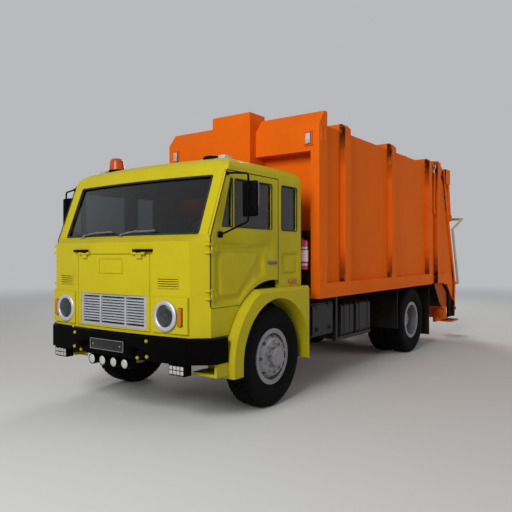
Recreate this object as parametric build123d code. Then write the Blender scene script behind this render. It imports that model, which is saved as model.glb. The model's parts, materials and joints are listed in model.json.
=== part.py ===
from build123d import *
import math
import os

# Rear-loading garbage truck, in millimetres: X forward from the front axle, Y left, Z up from the road.

# Wheels and running gear
WHEELBASE = 4150
TYRE_R = 542
TYRE_HALF = 147
SEAT_R = 262
FLANGE_R = 300
RIM_HALF = 126
FRONT_TRACK_Y = 1030
KINGPIN_Y = FRONT_TRACK_Y - 105
REAR_OUTER_Y = 1040
REAR_INNER_Y = 720
HUB_Z = TYRE_R

# Chassis
RAIL_Y = 430
RAIL_WEB = 8
RAIL_FLANGE = 80
RAIL_Z0 = 760
RAIL_Z1 = 1010
RAIL_FRONT = 1150
RAIL_REAR = -WHEELBASE - 1100
CROSS_X = (1080, -1150, -2300, -WHEELBASE + 850, -WHEELBASE - 700, RAIL_REAR + 50)

# Cab
CAB_HALF = 1170
CAB_REAR = -610
CAB_T = 45
CAB_BOTTOM = 865
PANEL_TOP = 1765
SCREEN_Z = 1833
EAVES_Z = 2460
FRONT_X = 1240
SCREEN_X = 1103
EAVES_X = 864
BOW = 70
CORNER_Y = 150
DOOR_FRONT = 1040
DOOR_REAR = -90
DOOR_GAP = 6
FLOOR_Z = 1280
COVER_HALF = 430
ROOF_RISE = 180
ROOF_IN = 430
SEAT_Y = COVER_HALF + 0.405 * (CAB_HALF - COVER_HALF)
SEAT_HALF = 0.338 * (CAB_HALF - COVER_HALF)
LAMP_Y = CAB_HALF - 410
BEACON_Y = CAB_HALF - 420
BEACON_R = 90
BEACON_X = 520
BEACON_Z = EAVES_Z + 190

# Planes just inside and outside the cab's sides, for cuts
SIDE_IN = CAB_HALF - 170
SIDE_OUT = CAB_HALF + 130

# Front arch
ARCH_X = 20
ARCH_Z = 545
ARCH_R = 630
FENDER_R = 810
FENDER_Y0 = CAB_HALF - 220
FENDER_Y1 = CAB_HALF + 85

# Flap and grille
FLAP_HALF = CAB_HALF - 615
FLAP_Z0 = 890
FLAP_Z1 = 1650
GRILLE_HALF = FLAP_HALF - 50
GRILLE_Z0 = 908
GRILLE_Z1 = 1240

# Load body
BODY_FRONT = -870
WALL_FRONT = -1070
BODY_REAR = -WHEELBASE - 880
PANEL_Y1 = 1170
PANEL_Y0 = PANEL_Y1 - 45
RIB_Y = PANEL_Y1 + 75
BODY_Z0 = 1108
DECK_Z0 = 1110
DECK_Z1 = 1150
RAIL_TOP = 1290
SIDE_TOP = 3210
RIB_TOP = SIDE_TOP + 130
BEAM_TOP = SIDE_TOP + 180
RIB_X = (WALL_FRONT - 485, BODY_REAR + 1900, BODY_REAR + 200)
RIB_WIDE = 160

# Tailgate
GATE_FRONT = BODY_REAR - 10
HINGE = (BODY_REAR + 30, SIDE_TOP + 210)
LIP = (BODY_REAR - 1580, 1060)
PACK = (BODY_REAR - 570, 2080)
RAM_BASE = (BODY_REAR - 120, SIDE_TOP - 790)
RAM_EYE = (BODY_REAR - 160, SIDE_TOP + 30)
RAM_Y = RIB_Y - 38
RAM_BARREL = 700
ARM_Y = RIB_Y - 13
TOW_X = FRONT_X + 80
TOW_R = 45
REACH_FRONT = TOW_X + TOW_R
REACH_REAR = BODY_REAR - 1894
MID_X = (REACH_FRONT + REACH_REAR) / 2

# Hinges of the flap and doors, and the play in every pin
FLAP_AXIS = (FRONT_X + 10, FLAP_Z1)
FLAP_HINGE_Y = (135 - FLAP_HALF, FLAP_HALF - 135)
DOOR_AXIS = (DOOR_FRONT - 3, CAB_HALF + 10)
DOOR_HINGE_Z = (1270, 1700)
PLAY = 0.3


def box(x0, x1, y0, y1, z0, z1):
    """A block between two corners."""
    return Pos((x0 + x1) / 2, (y0 + y1) / 2, (z0 + z1) / 2) * Box(abs(x1 - x0), abs(y1 - y0), abs(z1 - z0))


def side_prism(points, y0, y1):
    """A side-view outline of (x, z) points drawn out across the truck."""
    outline = Polyline(*[(x, y0, z) for x, z in points], close=True)
    return extrude(make_face(outline), y1 - y0, dir=(0, 1, 0))


def plan_prism(points, z0, z1):
    """A plan outline of (x, y) points drawn upwards."""
    outline = Polyline(*[(x, y, z0) for x, y in points], close=True)
    return extrude(make_face(outline), z1 - z0, dir=(0, 0, 1))


def front_prism(points, x0, x1):
    """A front-view outline of (y, z) points drawn out lengthwise."""
    outline = Polyline(*[(x0, y, z) for y, z in points], close=True)
    return extrude(make_face(outline), x1 - x0, dir=(1, 0, 0))


def round_side_prism(points, radius, y0, y1):
    """A side-view outline with rounded corners drawn out across the truck."""
    outline = FilletPolyline(*[(x, y0, z) for x, z in points], radius=radius, close=True)
    return extrude(make_face(outline), y1 - y0, dir=(0, 1, 0))


def round_front_prism(points, radius, x0, x1):
    """A front-view outline with rounded corners drawn out lengthwise."""
    outline = FilletPolyline(*[(x0, y, z) for y, z in points], radius=radius, close=True)
    return extrude(make_face(outline), x1 - x0, dir=(1, 0, 0))


def drawn_in(points, distance):
    """A side outline with every edge moved inwards, or outwards for a negative distance."""
    count = len(points)
    area = sum(points[i - 1][0] * points[i][1] - points[i][0] * points[i - 1][1] for i in range(count))
    turn = math.copysign(1, area)
    lines = []
    for i in range(count):
        (x0, z0), (x1, z1) = points[i], points[(i + 1) % count]
        length = math.hypot(x1 - x0, z1 - z0)
        normal = (-turn * (z1 - z0) / length, turn * (x1 - x0) / length)
        lines.append((normal, normal[0] * x0 + normal[1] * z0 + distance))
    moved = []
    for i in range(count):
        (a, p), (b, q) = lines[i - 1], lines[i]
        cross = a[0] * b[1] - a[1] * b[0]
        moved.append(((p * b[1] - q * a[1]) / cross, (a[0] * q - b[0] * p) / cross))
    return moved


def sloped(points, inset, y0, y1):
    """A side outline at y0 that is drawn in by an inset at y1."""
    faces = []
    for y, outline in ((y0, points), (y1, drawn_in(points, inset))):
        faces.append(make_face(Polyline(*[(x, y, z) for x, z in outline], close=True)))
    return loft(faces, ruled=True)


def rod(start, end, radius):
    """A round bar between two points."""
    axis = Vector(*end) - Vector(*start)
    bar = Cylinder(radius, axis.length, align=(Align.CENTER, Align.CENTER, Align.MIN))
    return Plane(origin=start, z_dir=axis) * bar


def cross_rod(x, z, radius, y0, y1):
    """A round bar across the truck."""
    return rod((x, y0, z), (x, y1, z), radius)


def turned(points, x, z):
    """A ring turned about a cross axis from (radius, y) points."""
    outline = Polyline(*[(x + r, y, z) for r, y in points], close=True)
    return revolve(make_face(outline), Axis((x, 0, z), (0, 1, 0)))


def faced(points, y, z):
    """A lamp turned about a lengthwise axis from (radius, x) points."""
    outline = Polyline(*[(x, y + r, z) for r, x in points], close=True)
    return revolve(make_face(outline), Axis((0, y, z), (1, 0, 0)))


def mirrored(shape):
    """The same shape on the right-hand side."""
    return mirror(shape, about=Plane.XZ)


def both(shape):
    """The shape on the left and on the right."""
    return Part() + [shape, mirrored(shape)]


def aft(distance):
    """The x of a point behind the load body's rear edge."""
    return BODY_REAR - distance


def above(height):
    """The z of a point over the top of the load body's sides."""
    return SIDE_TOP + height


# Chassis frame, axles and springs
def chassis_rails():
    """Two channel rails with the spring hangers."""
    rail = box(RAIL_REAR, RAIL_FRONT, RAIL_Y - RAIL_FLANGE, RAIL_Y, RAIL_Z0, RAIL_Z1)
    rail -= box(RAIL_REAR, RAIL_FRONT, 0, RAIL_Y - RAIL_WEB, RAIL_Z0 + RAIL_WEB, RAIL_Z1 - RAIL_WEB)
    for x in (-700, 640):
        rail += box(x, x + 60, 385, 475, 670, RAIL_Z0)
    rail += box(850, 950, 380, RAIL_Y, RAIL_Z1 - 4, 1090)
    rail += box(-560, -490, 360, RAIL_Y, RAIL_Z1 - 4, FLOOR_Z)
    for x in (-WHEELBASE - 790, -WHEELBASE + 720):
        rail += box(x, x + 70, RAIL_Y, 540, 730, 880)
    return both(rail)


def chassis_crossmembers():
    """Cross beams between the webs of the rails."""
    reach = RAIL_Y - RAIL_WEB
    return Part() + [box(x - 35, x + 35, -reach, reach, 800, 960) for x in CROSS_X]


def leaf_pack(x, y, z_mid, rise, half, count, thick, width):
    """A pack of arched leaves, each shorter than the one above."""
    pack = Part()
    for i in range(count):
        reach = half * (1 - 0.13 * i)
        lift = rise * (reach / half) ** 2
        top = z_mid - thick * i
        low = top - thick
        upper = ThreePointArc((x - reach, y, top + lift), (x, y, top), (x + reach, y, top + lift))
        lower = ThreePointArc((x + reach, y, low + lift), (x, y, low), (x - reach, y, low + lift))
        ends = [Line(upper @ 1, lower @ 0), Line(lower @ 1, upper @ 0)]
        leaf = extrude(make_face([upper, ends[0], lower, ends[1]]), width, dir=(0, 1, 0))
        pack += leaf
    return pack


def leaf_springs():
    """Front and rear leaf packs with their clamps."""
    front = leaf_pack(0, 390, 590, 110, 640, 6, 15, 80)
    front += box(-70, 70, 385, 475, 500, 600)
    rear = leaf_pack(-WHEELBASE, 447, 765, 45, 720, 7, 15, 86)
    rear += box(-WHEELBASE - 80, -WHEELBASE + 80, 442, 538, 655, 780)
    return Part() + [both(front), both(rear)]


def front_axle():
    """The dropped front beam with its kingpin bosses."""
    end = KINGPIN_Y - 35
    half = [(0, 390), (600, 390), (end, 500), (end, 585), (560, 480), (0, 480)]
    beam = front_prism(half, -42, 42)
    beam += box(-75, 75, 385, 475, 470, 500)
    boss = Pos(0, KINGPIN_Y, HUB_Z) * Cylinder(48, 140)
    beam += boss
    beam -= Pos(0, KINGPIN_Y, HUB_Z) * Cylinder(22 + PLAY, 200)
    return beam + mirrored(beam)


def rear_axle():
    """The banjo casing with its spindles, spring pads and propeller shaft."""
    outline = [(0, -600), (95, -600), (95, -270), (215, -90), (215, 90), (95, 270), (95, 600), (0, 600)]
    axle = turned(outline, -WHEELBASE, HUB_Z)
    for side in (1, -1):
        axle += cross_rod(-WHEELBASE, HUB_Z, 60 - PLAY, side * 590, side * 880)
        axle += box(-WHEELBASE - 85, -WHEELBASE + 85, side * 442, side * 538, 600, 655)
    axle += rod((-WHEELBASE + 200, 0, 555), (-940, 0, 720), 50) - box(-955.3, -800, -100, 100, 600, 900)
    axle += rod((-WHEELBASE + 150, 0, 552), (-WHEELBASE + 330, 0, 562), 85)
    return axle


def knuckle():
    """The left steering knuckle with its pin, spindle and arm."""
    part = Pos(0, KINGPIN_Y, HUB_Z) * Cylinder(22, 230)
    for side in (1, -1):
        part += Pos(0, KINGPIN_Y, HUB_Z + side * 94) * Cylinder(48, 34)
        part += box(-40, 40, KINGPIN_Y, KINGPIN_Y + 85, HUB_Z + side * 94 - 17, HUB_Z + side * 94 + 17)
    part += box(-40, 40, KINGPIN_Y + 57, KINGPIN_Y + 87, HUB_Z - 111, HUB_Z + 111)
    part += cross_rod(0, HUB_Z, 46 - PLAY, KINGPIN_Y + 75, FRONT_TRACK_Y + 120)
    part += box(-180, -30, KINGPIN_Y - 60, KINGPIN_Y - 10, HUB_Z - 111, HUB_Z - 77)
    part += box(-45, 0, KINGPIN_Y - 60, KINGPIN_Y, HUB_Z - 111, HUB_Z - 77)
    return part


# Wheels
def tyre(x, y):
    """A plain tyre; its road tread is dressed later."""
    half = [(SEAT_R, 108), (306, 112), (430, TYRE_HALF), (508, 140), (TYRE_R, 108)]
    ring = [(r, y + w) for r, w in half] + [(r, y - w) for r, w in reversed(half)]
    return turned(ring, x, HUB_Z)


def rim_barrel(x, y):
    """The barrel of a rim with its two flanges."""
    low = y - RIM_HALF
    high = y + RIM_HALF
    ring = [
        (SEAT_R - 12, low), (FLANGE_R, low), (FLANGE_R, low + 12), (SEAT_R, low + 16),
        (SEAT_R, high - 16), (FLANGE_R, high - 12), (FLANGE_R, high), (SEAT_R - 12, high),
    ]
    return turned(ring, x, HUB_Z)


def front_rim():
    """The left front wheel: barrel, bulged disc, drum and hub."""
    y = FRONT_TRACK_Y
    rim = rim_barrel(0, y)
    disc = [
        (252, y + 50), (252, y + 80), (205, y + 138), (180, y + 152), (60, y + 152), (60, y + 128),
        (172, y + 128), (195, y + 112), (236, y + 62), (238, y + 50),
    ]
    rim += turned(disc, 0, HUB_Z)
    for i in range(8):
        angle = math.radians(45 * i)
        hole = (222 * math.cos(angle), HUB_Z + 222 * math.sin(angle))
        rim -= cross_rod(hole[0], hole[1], 21, y + 70, y + 200)
    drum = [(185, y - 20), (205, y - 20), (205, y + 125), (170, y + 135), (170, y + 125), (185, y + 110)]
    rim += turned(drum, 0, HUB_Z)
    hub = [(46, y + 20), (105, y + 20), (105, y + 196), (86, y + 212)]
    hub += [(0, y + 212), (0, y + 128), (46, y + 128)]
    rim += turned(hub, 0, HUB_Z)
    return rim


def rear_rim():
    """The left rear twin wheel: two barrels on one dished disc and hub."""
    x = -WHEELBASE
    rim = rim_barrel(x, REAR_OUTER_Y) + rim_barrel(x, REAR_INNER_Y)
    rim += turned([(SEAT_R - 12, 840), (SEAT_R, 840), (SEAT_R, 920), (SEAT_R - 12, 920)], x, HUB_Z)
    rim += turned([(60, 905), (252, 880), (252, 905), (190, 930), (60, 930)], x, HUB_Z)
    for i in range(8):
        angle = math.radians(45 * i)
        hole = (x + 215 * math.cos(angle), HUB_Z + 215 * math.sin(angle))
        rim -= cross_rod(hole[0], hole[1], 22, 860, 960)
    hub = [(60, 780), (150, 780), (150, 990), (118, 1010), (112, 1070), (0, 1078), (0, 892), (60, 892)]
    rim += turned(hub, x, HUB_Z)
    return rim


# Engine, tanks and lockers
def engine_gearbox():
    """One plain engine and gearbox block, with the radiator ahead of it."""
    block = box(-450, 780, -330, 330, 770, 1480)
    block += box(-955, -450, -200, 200, 650, 1000)
    for x in (-350, 450):
        block += box(x, x + 90, -(RAIL_Y - RAIL_WEB), RAIL_Y - RAIL_WEB, 870, 940)
    return Part() + [block, box(950, 1045, -330, 330, 800, 1500)]


def fuel_tank():
    """The left tank, its tray, hangers and front post."""
    tank = box(-2070, -1710, 640, 1100, 545, 970)
    tank += box(-2630, -2170, 640, 1100, 545, 970)
    tank = fillet(tank.edges().filter_by(Axis.X), 45)
    tank += box(-2175, -2065, 665, 1075, 570, 945)
    tank += box(-2660, -1580, 1040, 1095, 500, 546)
    tank += box(-2660, -1580, 650, 700, 500, 546)
    for x in (-2600, -2140, -1740):
        tank += box(x, x + 50, RAIL_Y, 1095, 500, 546)
        tank += box(x, x + 50, RAIL_Y, RAIL_Y + 40, 500, 940)
    tank += box(-1630, -1580, 1045, 1090, 500, BODY_Z0)
    return tank


def tool_locker():
    """The locker behind the left front wheel."""
    locker = box(-1490, -940, 600, 1080, 620, 1030)
    locker += box(-1475, -955, 1080, 1100, 640, 1010)
    for x in (-1440, -1040):
        locker += box(x, x + 50, RAIL_Y, 610, 700, 980)
    return locker


def air_tanks():
    """Two air reservoirs on the right, each on its own brackets."""
    tanks = Part()
    for x in (-1600, -1190):
        tank = rod((x, -690, 720), (x + 380, -690, 720), 130)
        for step in (70, 270):
            tank += box(x + step, x + step + 40, -700, -RAIL_Y, 800, 900)
        tanks += tank
    return tanks


def silencer():
    """The exhaust silencer with its pipes on the right."""
    rear = -WHEELBASE + 770
    front = rear + 800
    part = rod((rear, -720, 730), (front, -720, 730), 165)
    part += rod((rear + 90, -780, 680), (rear + 90, -1060, 640), 45)
    part += rod((front - 20, -680, 730), (front + 190, -560, 730), 45)
    for x in (rear + 120, front - 170):
        part += box(x, x + 50, -730, -RAIL_Y, 840, 920)
    return part


# Front bumper
def bumper_outline(inset, rear, z):
    """The bowed plan of the bumper at one height."""
    half = CAB_HALF + 50 - inset
    front = FRONT_X + BOW - 25 - inset
    nose = (front - BOW, CAB_HALF - CORNER_Y - 0.5 * inset)
    corner = (1050 - 0.4 * inset, half)
    arc = ThreePointArc((nose[0], -nose[1], z), (front, 0, z), (nose[0], nose[1], z))
    rest = Polyline(
        (nose[0], nose[1], z), (corner[0], corner[1], z), (rear, half, z), (rear, -half, z),
        (corner[0], -corner[1], z), (nose[0], -nose[1], z),
    )
    return make_face([arc] + list(rest.edges()))


def front_bumper():
    """The bumper with its arms, plate face, lamp carriers and tow lugs."""
    part = extrude(bumper_outline(0, ARCH_X + FENDER_R + 15, 620), 230, dir=(0, 0, 1))
    part -= extrude(bumper_outline(45, 700, 600), 300, dir=(0, 0, 1))
    part += box(1235, 1293, -262, 262, 668, 788)
    for side in (1, -1):
        part += box(RAIL_FRONT, 1250, side * 355, side * 425, 765, 845)
        part += box(1130, 1200, side * (CAB_HALF - 390), side * (CAB_HALF - 170), 608, 625)
        part += box(1115, 1138, side * (CAB_HALF - 385), side * (CAB_HALF - 175), 508, 625)
        lug = box(1240, TOW_X, side * (380 - TOW_R), side * (380 + TOW_R), 700, 735)
        lug += Pos(TOW_X, side * 380, 717.5) * Cylinder(TOW_R, 35)
        part += lug - Pos(TOW_X, side * 380, 717.5) * Cylinder(20, 60)
    part += box(1180, 1260, -315, 315, 612, 625)
    part += box(1180, 1197, -315, 315, 508, 625)
    return part


# Cab shell
def cab_section(z, front, half, rear, dx, inset, cut=False):
    """One plan section of the cab: bowed front, turned or cut corners, straight sides."""
    front = front - inset
    half = half - inset
    rear = rear + inset
    turn = half - CORNER_Y
    nose = front - BOW
    back = 60
    edges = []
    edges.append(ThreePointArc((nose, -turn, z), (front, 0, z), (nose, turn, z)))
    for side in (1, -1):
        start = (nose, side * turn, z)
        middle = (nose - 0.29 * dx, side * (turn + 0.71 * CORNER_Y), z)
        end = (nose - dx, side * half, z)
        edges.append(Line(start, end) if cut else ThreePointArc(start, middle, end))
        edges.append(Line(end, (rear + back, side * half, z)))
        bend = (rear + 0.29 * back, side * (half - 0.29 * back), z)
        edges.append(ThreePointArc((rear + back, side * half, z), bend, (rear, side * (half - back), z)))
    edges.append(Line((rear, half - back, z), (rear, -half + back, z)))
    return make_face(edges)


def cab_walls(inset, bottom=CAB_BOTTOM):
    """The solid cab below the eaves, drawn in by an inset."""
    low = cab_section(bottom, FRONT_X, CAB_HALF, CAB_REAR, 130, inset, True)
    solid = extrude(low, PANEL_TOP - bottom, dir=(0, 0, 1))
    levels = [(PANEL_TOP, FRONT_X, 130), (SCREEN_Z, SCREEN_X, 12), (EAVES_Z, EAVES_X, 12)]
    faces = [cab_section(z, front, CAB_HALF, CAB_REAR, dx, inset, dx > 12) for z, front, dx in levels]
    return solid + loft(faces, ruled=True)


def cab_crown(inset, drop):
    """The solid roof above the eaves, drawn in by an inset and lowered by a drop."""
    faces = []
    for share in (0, 0.3, 0.55, 0.75, 0.89, 0.97, 1):
        draw = ROOF_IN * (1 - (1 - share ** 2.5) ** 0.4)
        level = EAVES_Z + ROOF_RISE * share - (drop if share else 0)
        turn = 12 + 48 * share
        faces.append(cab_section(level, EAVES_X - draw, CAB_HALF - draw, CAB_REAR + 0.6 * draw, turn, inset))
    return loft(faces, ruled=True)


WALLS = cab_walls(0)
WALLS_IN = cab_walls(CAB_T, 700)
SHELL = WALLS - WALLS_IN
CROWN = cab_crown(0, 0)
GLASS_LAYER = cab_walls(18) - cab_walls(26, 700)
ARCH_RING = cross_rod(ARCH_X, ARCH_Z, FENDER_R + 5, -FENDER_Y1 - 145, FENDER_Y1 + 145)

DOOR_EDGE = [(DOOR_FRONT, 1134), (DOOR_FRONT, 1807), (790, EAVES_Z)]
SCREEN_LOW = CAB_HALF - 165
SCREEN_HIGH = CAB_HALF - 167
SCREEN = [(-SCREEN_LOW, 1842), (SCREEN_LOW, 1842), (SCREEN_HIGH, 2412), (-SCREEN_HIGH, 2412)]
SCREEN_R = 26
VENT_PANE = [(874, 1911), (744, 2380), (716, 2380), (716, 1911)]
DOOR_PANE = [(676, 1911), (676, 2383), (33, 2390), (33, 1909)]
QUARTER_PANE = [(-156, 1906), (-156, 2398), (-476, 2398), (-476, 1906)]
BACK_PANE = [(150, 2080), (CAB_HALF - 390, 2080), (CAB_HALF - 390, 2370), (150, 2370)]
QUARTER_PANEL = [(-205, 1625), (-420, 1625), (-420, 1450), (-235, 1450)]
DOOR_PANEL = [(895, 1636), (250, 1636), (417, 1480), (633, 1255), (885, 1252)]
DOOR_RECESS = [
    (985, 1731), (60, 1752), (112, 1690), (165, 1560), (165, 1425),
    (330, 1372), (470, 1290), (600, 1168), (985, 1168),
]


def cab_front():
    """The front panel, screen frame and corner sills."""
    zone = side_prism(
        [(1500, CAB_BOTTOM)] + [(1500, EAVES_Z), (790, EAVES_Z), (DOOR_FRONT, 1807)]
        + [(DOOR_FRONT, 1134), (560, 1134), (560, CAB_BOTTOM)], -SIDE_OUT, SIDE_OUT)
    zone += box(640, 1500, 52 - CAB_HALF, CAB_HALF - 52, 1134, EAVES_Z)
    part = (SHELL & zone) - ARCH_RING
    plinth = [(1140, LAMP_Y - 160), (1232, LAMP_Y - 160), (1198, LAMP_Y + 260), (1100, LAMP_Y + 260)]
    part += both(plan_prism(plinth, 900, 1240) - cab_walls(CAB_T / 2, 700))
    part -= box(1000, 1400, -FLAP_HALF, FLAP_HALF, FLAP_Z0, FLAP_Z1)
    part -= round_front_prism(SCREEN, SCREEN_R, 700, 1300)
    for side in (1, -1):
        part -= rod((1000, side * LAMP_Y, 1060), (1400, side * LAMP_Y, 1060), 148.4)
    part += flap_leaf(True)
    return part + both(door_leaf(False))


def cab_quarters():
    """The side panels behind the doors, each with its window and pressing."""
    zone = box(-565, DOOR_REAR - 3, SIDE_IN - 100, SIDE_OUT, FLOOR_Z, EAVES_Z)
    part = SHELL & zone
    part -= round_side_prism(QUARTER_PANE, 45, SIDE_IN, SIDE_OUT)
    recess = [(-155, 1666), (-500, 1670), (-494, 1402), (-165, 1408)]
    part -= sloped(recess, 26, CAB_HALF + 0.5, CAB_HALF - 20)
    part += sloped(drawn_in(QUARTER_PANEL, -18), 18, CAB_HALF - 20.5, CAB_HALF - 3)
    return both(part)


def cab_back():
    """The rear wall with two windows."""
    part = SHELL & box(-700, -565, -SIDE_OUT, SIDE_OUT, FLOOR_Z, EAVES_Z)
    for side in (1, -1):
        pane = [(side * y, z) for y, z in BACK_PANE]
        part -= round_front_prism(pane, 40, -700, -500)
    return part


def door_leaf(moving):
    """Hinge leaves of the left door: the door's middle barrels or the cab's outer ones."""
    x, y = DOOR_AXIS
    shapes = []
    for z in DOOR_HINGE_Z:
        spans = [(-24, 24)] if moving else [(-50, -24.3), (24.3, 50)]
        for low, high in spans:
            leaf = Pos(x, y, z + (low + high) / 2) * Cylinder(10, high - low)
            if moving:
                leaf += box(960, x, y - 14, y, z + low, z + high)
            else:
                leaf += box(x, 1080, y - 7, y + 7, z + low, z + high)
                leaf += box(1046, 1080, y - 60, y, z + low, z + high)
            shapes.append(leaf)
    return Part() + shapes


def door_left():
    """The left door with two window openings and its pressed panel."""
    gap = DOOR_GAP
    outline = [
        (DOOR_FRONT - gap, 1134 + gap), (DOOR_FRONT - gap, 1806), (788, EAVES_Z - gap),
        (DOOR_REAR + gap, EAVES_Z - gap), (DOOR_REAR + gap, 1134 + gap),
    ]
    part = SHELL & side_prism(outline, CAB_HALF - CAB_T - 1, SIDE_OUT)
    part -= cross_rod(ARCH_X, ARCH_Z, FENDER_R + 14, SIDE_IN - 100, SIDE_OUT + 100)
    part -= box(-200, 330, SIDE_IN - 100, SIDE_OUT, 1000, FLOOR_Z + 20)
    part -= round_side_prism(VENT_PANE, 12, SIDE_IN, SIDE_OUT)
    part -= round_side_prism(DOOR_PANE, 45, SIDE_IN, SIDE_OUT)
    part -= sloped(DOOR_RECESS, 36, CAB_HALF + 0.5, CAB_HALF - 26)
    part += sloped(drawn_in(DOOR_PANEL, -30), 30, CAB_HALF - 26.5, CAB_HALF - 4)
    return part + door_leaf(True)


def door_glass():
    """The panes of the left door."""
    layer = GLASS_LAYER & box(-300, 1000, SIDE_IN - 100, SIDE_OUT, 1800, 2440)
    panes = round_side_prism(VENT_PANE, 12, SIDE_IN, SIDE_OUT)
    panes += round_side_prism(DOOR_PANE, 45, SIDE_IN, SIDE_OUT)
    return layer & panes


def cab_glass():
    """Windscreen, quarter windows and rear windows."""
    panes = [GLASS_LAYER & round_front_prism(SCREEN, SCREEN_R, 700, 1300)]
    panes.append(both(GLASS_LAYER & round_side_prism(QUARTER_PANE, 45, SIDE_IN, SIDE_OUT)))
    for side in (1, -1):
        pane = [(side * y, z) for y, z in BACK_PANE]
        panes.append(GLASS_LAYER & round_front_prism(pane, 40, -700, -500))
    return Part() + panes


def flap_leaf(up):
    """Hinge leaves of the flap: the cab's with outer barrels, the flap's with the middle ones."""
    x, z = FLAP_AXIS
    shapes = []
    for y in FLAP_HINGE_Y:
        spans = [(-90, -40.3), (40.3, 90)] if up else [(-40, 40)]
        for start, end in spans:
            leaf = box(1205, x, y + start, y + end, z + (2 if up else -45), z + (45 if up else -2))
            shapes.append(leaf + cross_rod(x, z, 10, y + start, y + end))
    leaf = Part() + shapes
    return leaf - WALLS_IN - box(1000, x - 12, -900, 900, z - 8, z + 8)


def front_flap():
    """The service flap below the windscreen, with the grille opening."""
    gap = DOOR_GAP
    part = SHELL & box(1000, 1400, -FLAP_HALF + gap, FLAP_HALF - gap, FLAP_Z0 + gap, FLAP_Z1 - gap)
    part -= box(1000, 1400, -GRILLE_HALF - 0.3, GRILLE_HALF + 0.3, GRILLE_Z0 - 0.3, GRILLE_Z1 + 0.3)
    part -= box(1232, 1300, -180, 180, 1445, 1600) - box(1100, 1300, -172, 172, 1453, 1592)
    part -= flap_leaf(True)
    return part + flap_leaf(False)


def grille():
    """The grille frame with its bars and slats."""
    half = GRILLE_HALF
    part = box(1160, 1216, -half, half, GRILLE_Z0, GRILLE_Z1)
    part -= box(1100, 1300, -half + 40, half - 40, GRILLE_Z0 + 26, GRILLE_Z1 - 26)
    for y in (-192, 192):
        part += box(1166, 1214, y - 14, y + 14, GRILLE_Z0 + 10, GRILLE_Z1 - 10)
    pitch = (GRILLE_Z1 - GRILLE_Z0 - 52) / 10
    for i in range(1, 10):
        z = GRILLE_Z0 + 26 + pitch * i
        slat = [(1172, z + 13), (1210, z + 6), (1210, z - 7), (1172, z)]
        part += side_prism(slat, -half + 12, half - 12)
    return part


def fender_left():
    """The left arch panel, hollow behind, with the front step."""
    y0 = FENDER_Y0
    start = ARCH_X + math.sqrt(FENDER_R ** 2 - (FLOOR_Z - ARCH_Z) ** 2)
    turn = math.radians(32)
    knee = (ARCH_X + FENDER_R * math.cos(turn), ARCH_Z + FENDER_R * math.sin(turn))
    arc = ThreePointArc((start, y0, FLOOR_Z), (knee[0], y0, knee[1]), (ARCH_X + FENDER_R, y0, ARCH_Z))
    rest = Polyline(
        (ARCH_X + FENDER_R, y0, ARCH_Z), (800, y0, 445), (-650, y0, 445), (-650, y0, FLOOR_Z),
        (start, y0, FLOOR_Z))
    outline = make_face([arc] + list(rest.edges()))
    solid = extrude(outline, FENDER_Y1 - y0, dir=(0, 1, 0))
    rim = [e for e in solid.edges() if e.center().Y > FENDER_Y1 - 1 and e.center().Z > 500]
    solid = chamfer(rim, 38)
    hollow = cross_rod(ARCH_X, ARCH_Z, FENDER_R - 30, y0 - 150, FENDER_Y1 - 30)
    hollow &= box(-700, 900, y0 - 150, FENDER_Y1 - 30, 400, FLOOR_Z - 30)
    hollow += box(-620, ARCH_X, y0 - 150, FENDER_Y1 - 30, 400, FLOOR_Z - 30)
    hollow -= cross_rod(ARCH_X, ARCH_Z, ARCH_R + 30, y0 - 250, FENDER_Y1 + 145)
    solid -= hollow
    solid -= cross_rod(ARCH_X, ARCH_Z, ARCH_R, y0 - 250, FENDER_Y1 + 145)
    solid -= box(ARCH_X - ARCH_R, ARCH_X + ARCH_R, y0 - 250, FENDER_Y1 + 145, 300, ARCH_Z)
    solid += box(790, 1000, y0 - 50, FENDER_Y1 - 50, 488, 515)
    solid += box(790, 1000, FENDER_Y1 - 77, FENDER_Y1 - 50, 500, 612)
    return solid


def cab_roof():
    """The roof shell."""
    return CROWN - cab_crown(CAB_T, 40)


def cab_floor():
    """The stepped floor with the engine cover."""
    plate = box(-564, 665, 55 - CAB_HALF, CAB_HALF - 55, FLOOR_Z, FLOOR_Z + 30)
    plate += box(640, 1100, 55 - CAB_HALF, CAB_HALF - 55, 1090, 1115)
    plate += box(640, 665, 55 - CAB_HALF, CAB_HALF - 55, 1090, FLOOR_Z + 30)
    plate &= cab_walls(CAB_T + 0.3, 700)
    under = box(-455, 1300, 25 - COVER_HALF, COVER_HALF - 25, 1000, 1515)
    plate -= under
    cover = box(-480, 1010, -COVER_HALF, COVER_HALF, 1090, 1540) - under
    return plate + cover


def dashboard():
    """The dashboard across the cab."""
    outline = [(830, 1541), (830, 1700), (880, 1785), (1120, 1800), (1120, 1541)]
    part = side_prism(outline, 55 - CAB_HALF, CAB_HALF - 55) & cab_walls(CAB_T + 0.3, 700)
    return part


def seats():
    """The two seats on their boxes."""
    shapes = []
    for y in (-SEAT_Y, SEAT_Y):
        half = SEAT_HALF
        seat = box(-480, -60, y - half + 20, y + half - 20, FLOOR_Z + 30, 1560)
        seat += box(-500, 0, y - half, y + half, 1560, 1680)
        back = [(-480, 1600), (-360, 1680), (-420, 2230), (-530, 2230)]
        seat += side_prism(back, y - half + 10, y + half - 10)
        shapes.append(seat)
    return Part() + shapes


def steering_wheel():
    """The steering wheel on its column."""
    hub = Vector(560, SEAT_Y + 5, 1830)
    tilt = Plane(origin=hub, z_dir=(-0.79, 0, 0.61))
    part = tilt * Torus(225, 16)
    part += tilt * Cylinder(55, 30)
    for angle in (0, 120, 240):
        part += tilt * (Rot(0, 0, angle) * (Pos(120, 0, 0) * Box(220, 26, 14)))
    part += rod((560, SEAT_Y + 5, 1830), (860, SEAT_Y + 5, 1600), 30)
    return part


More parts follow.
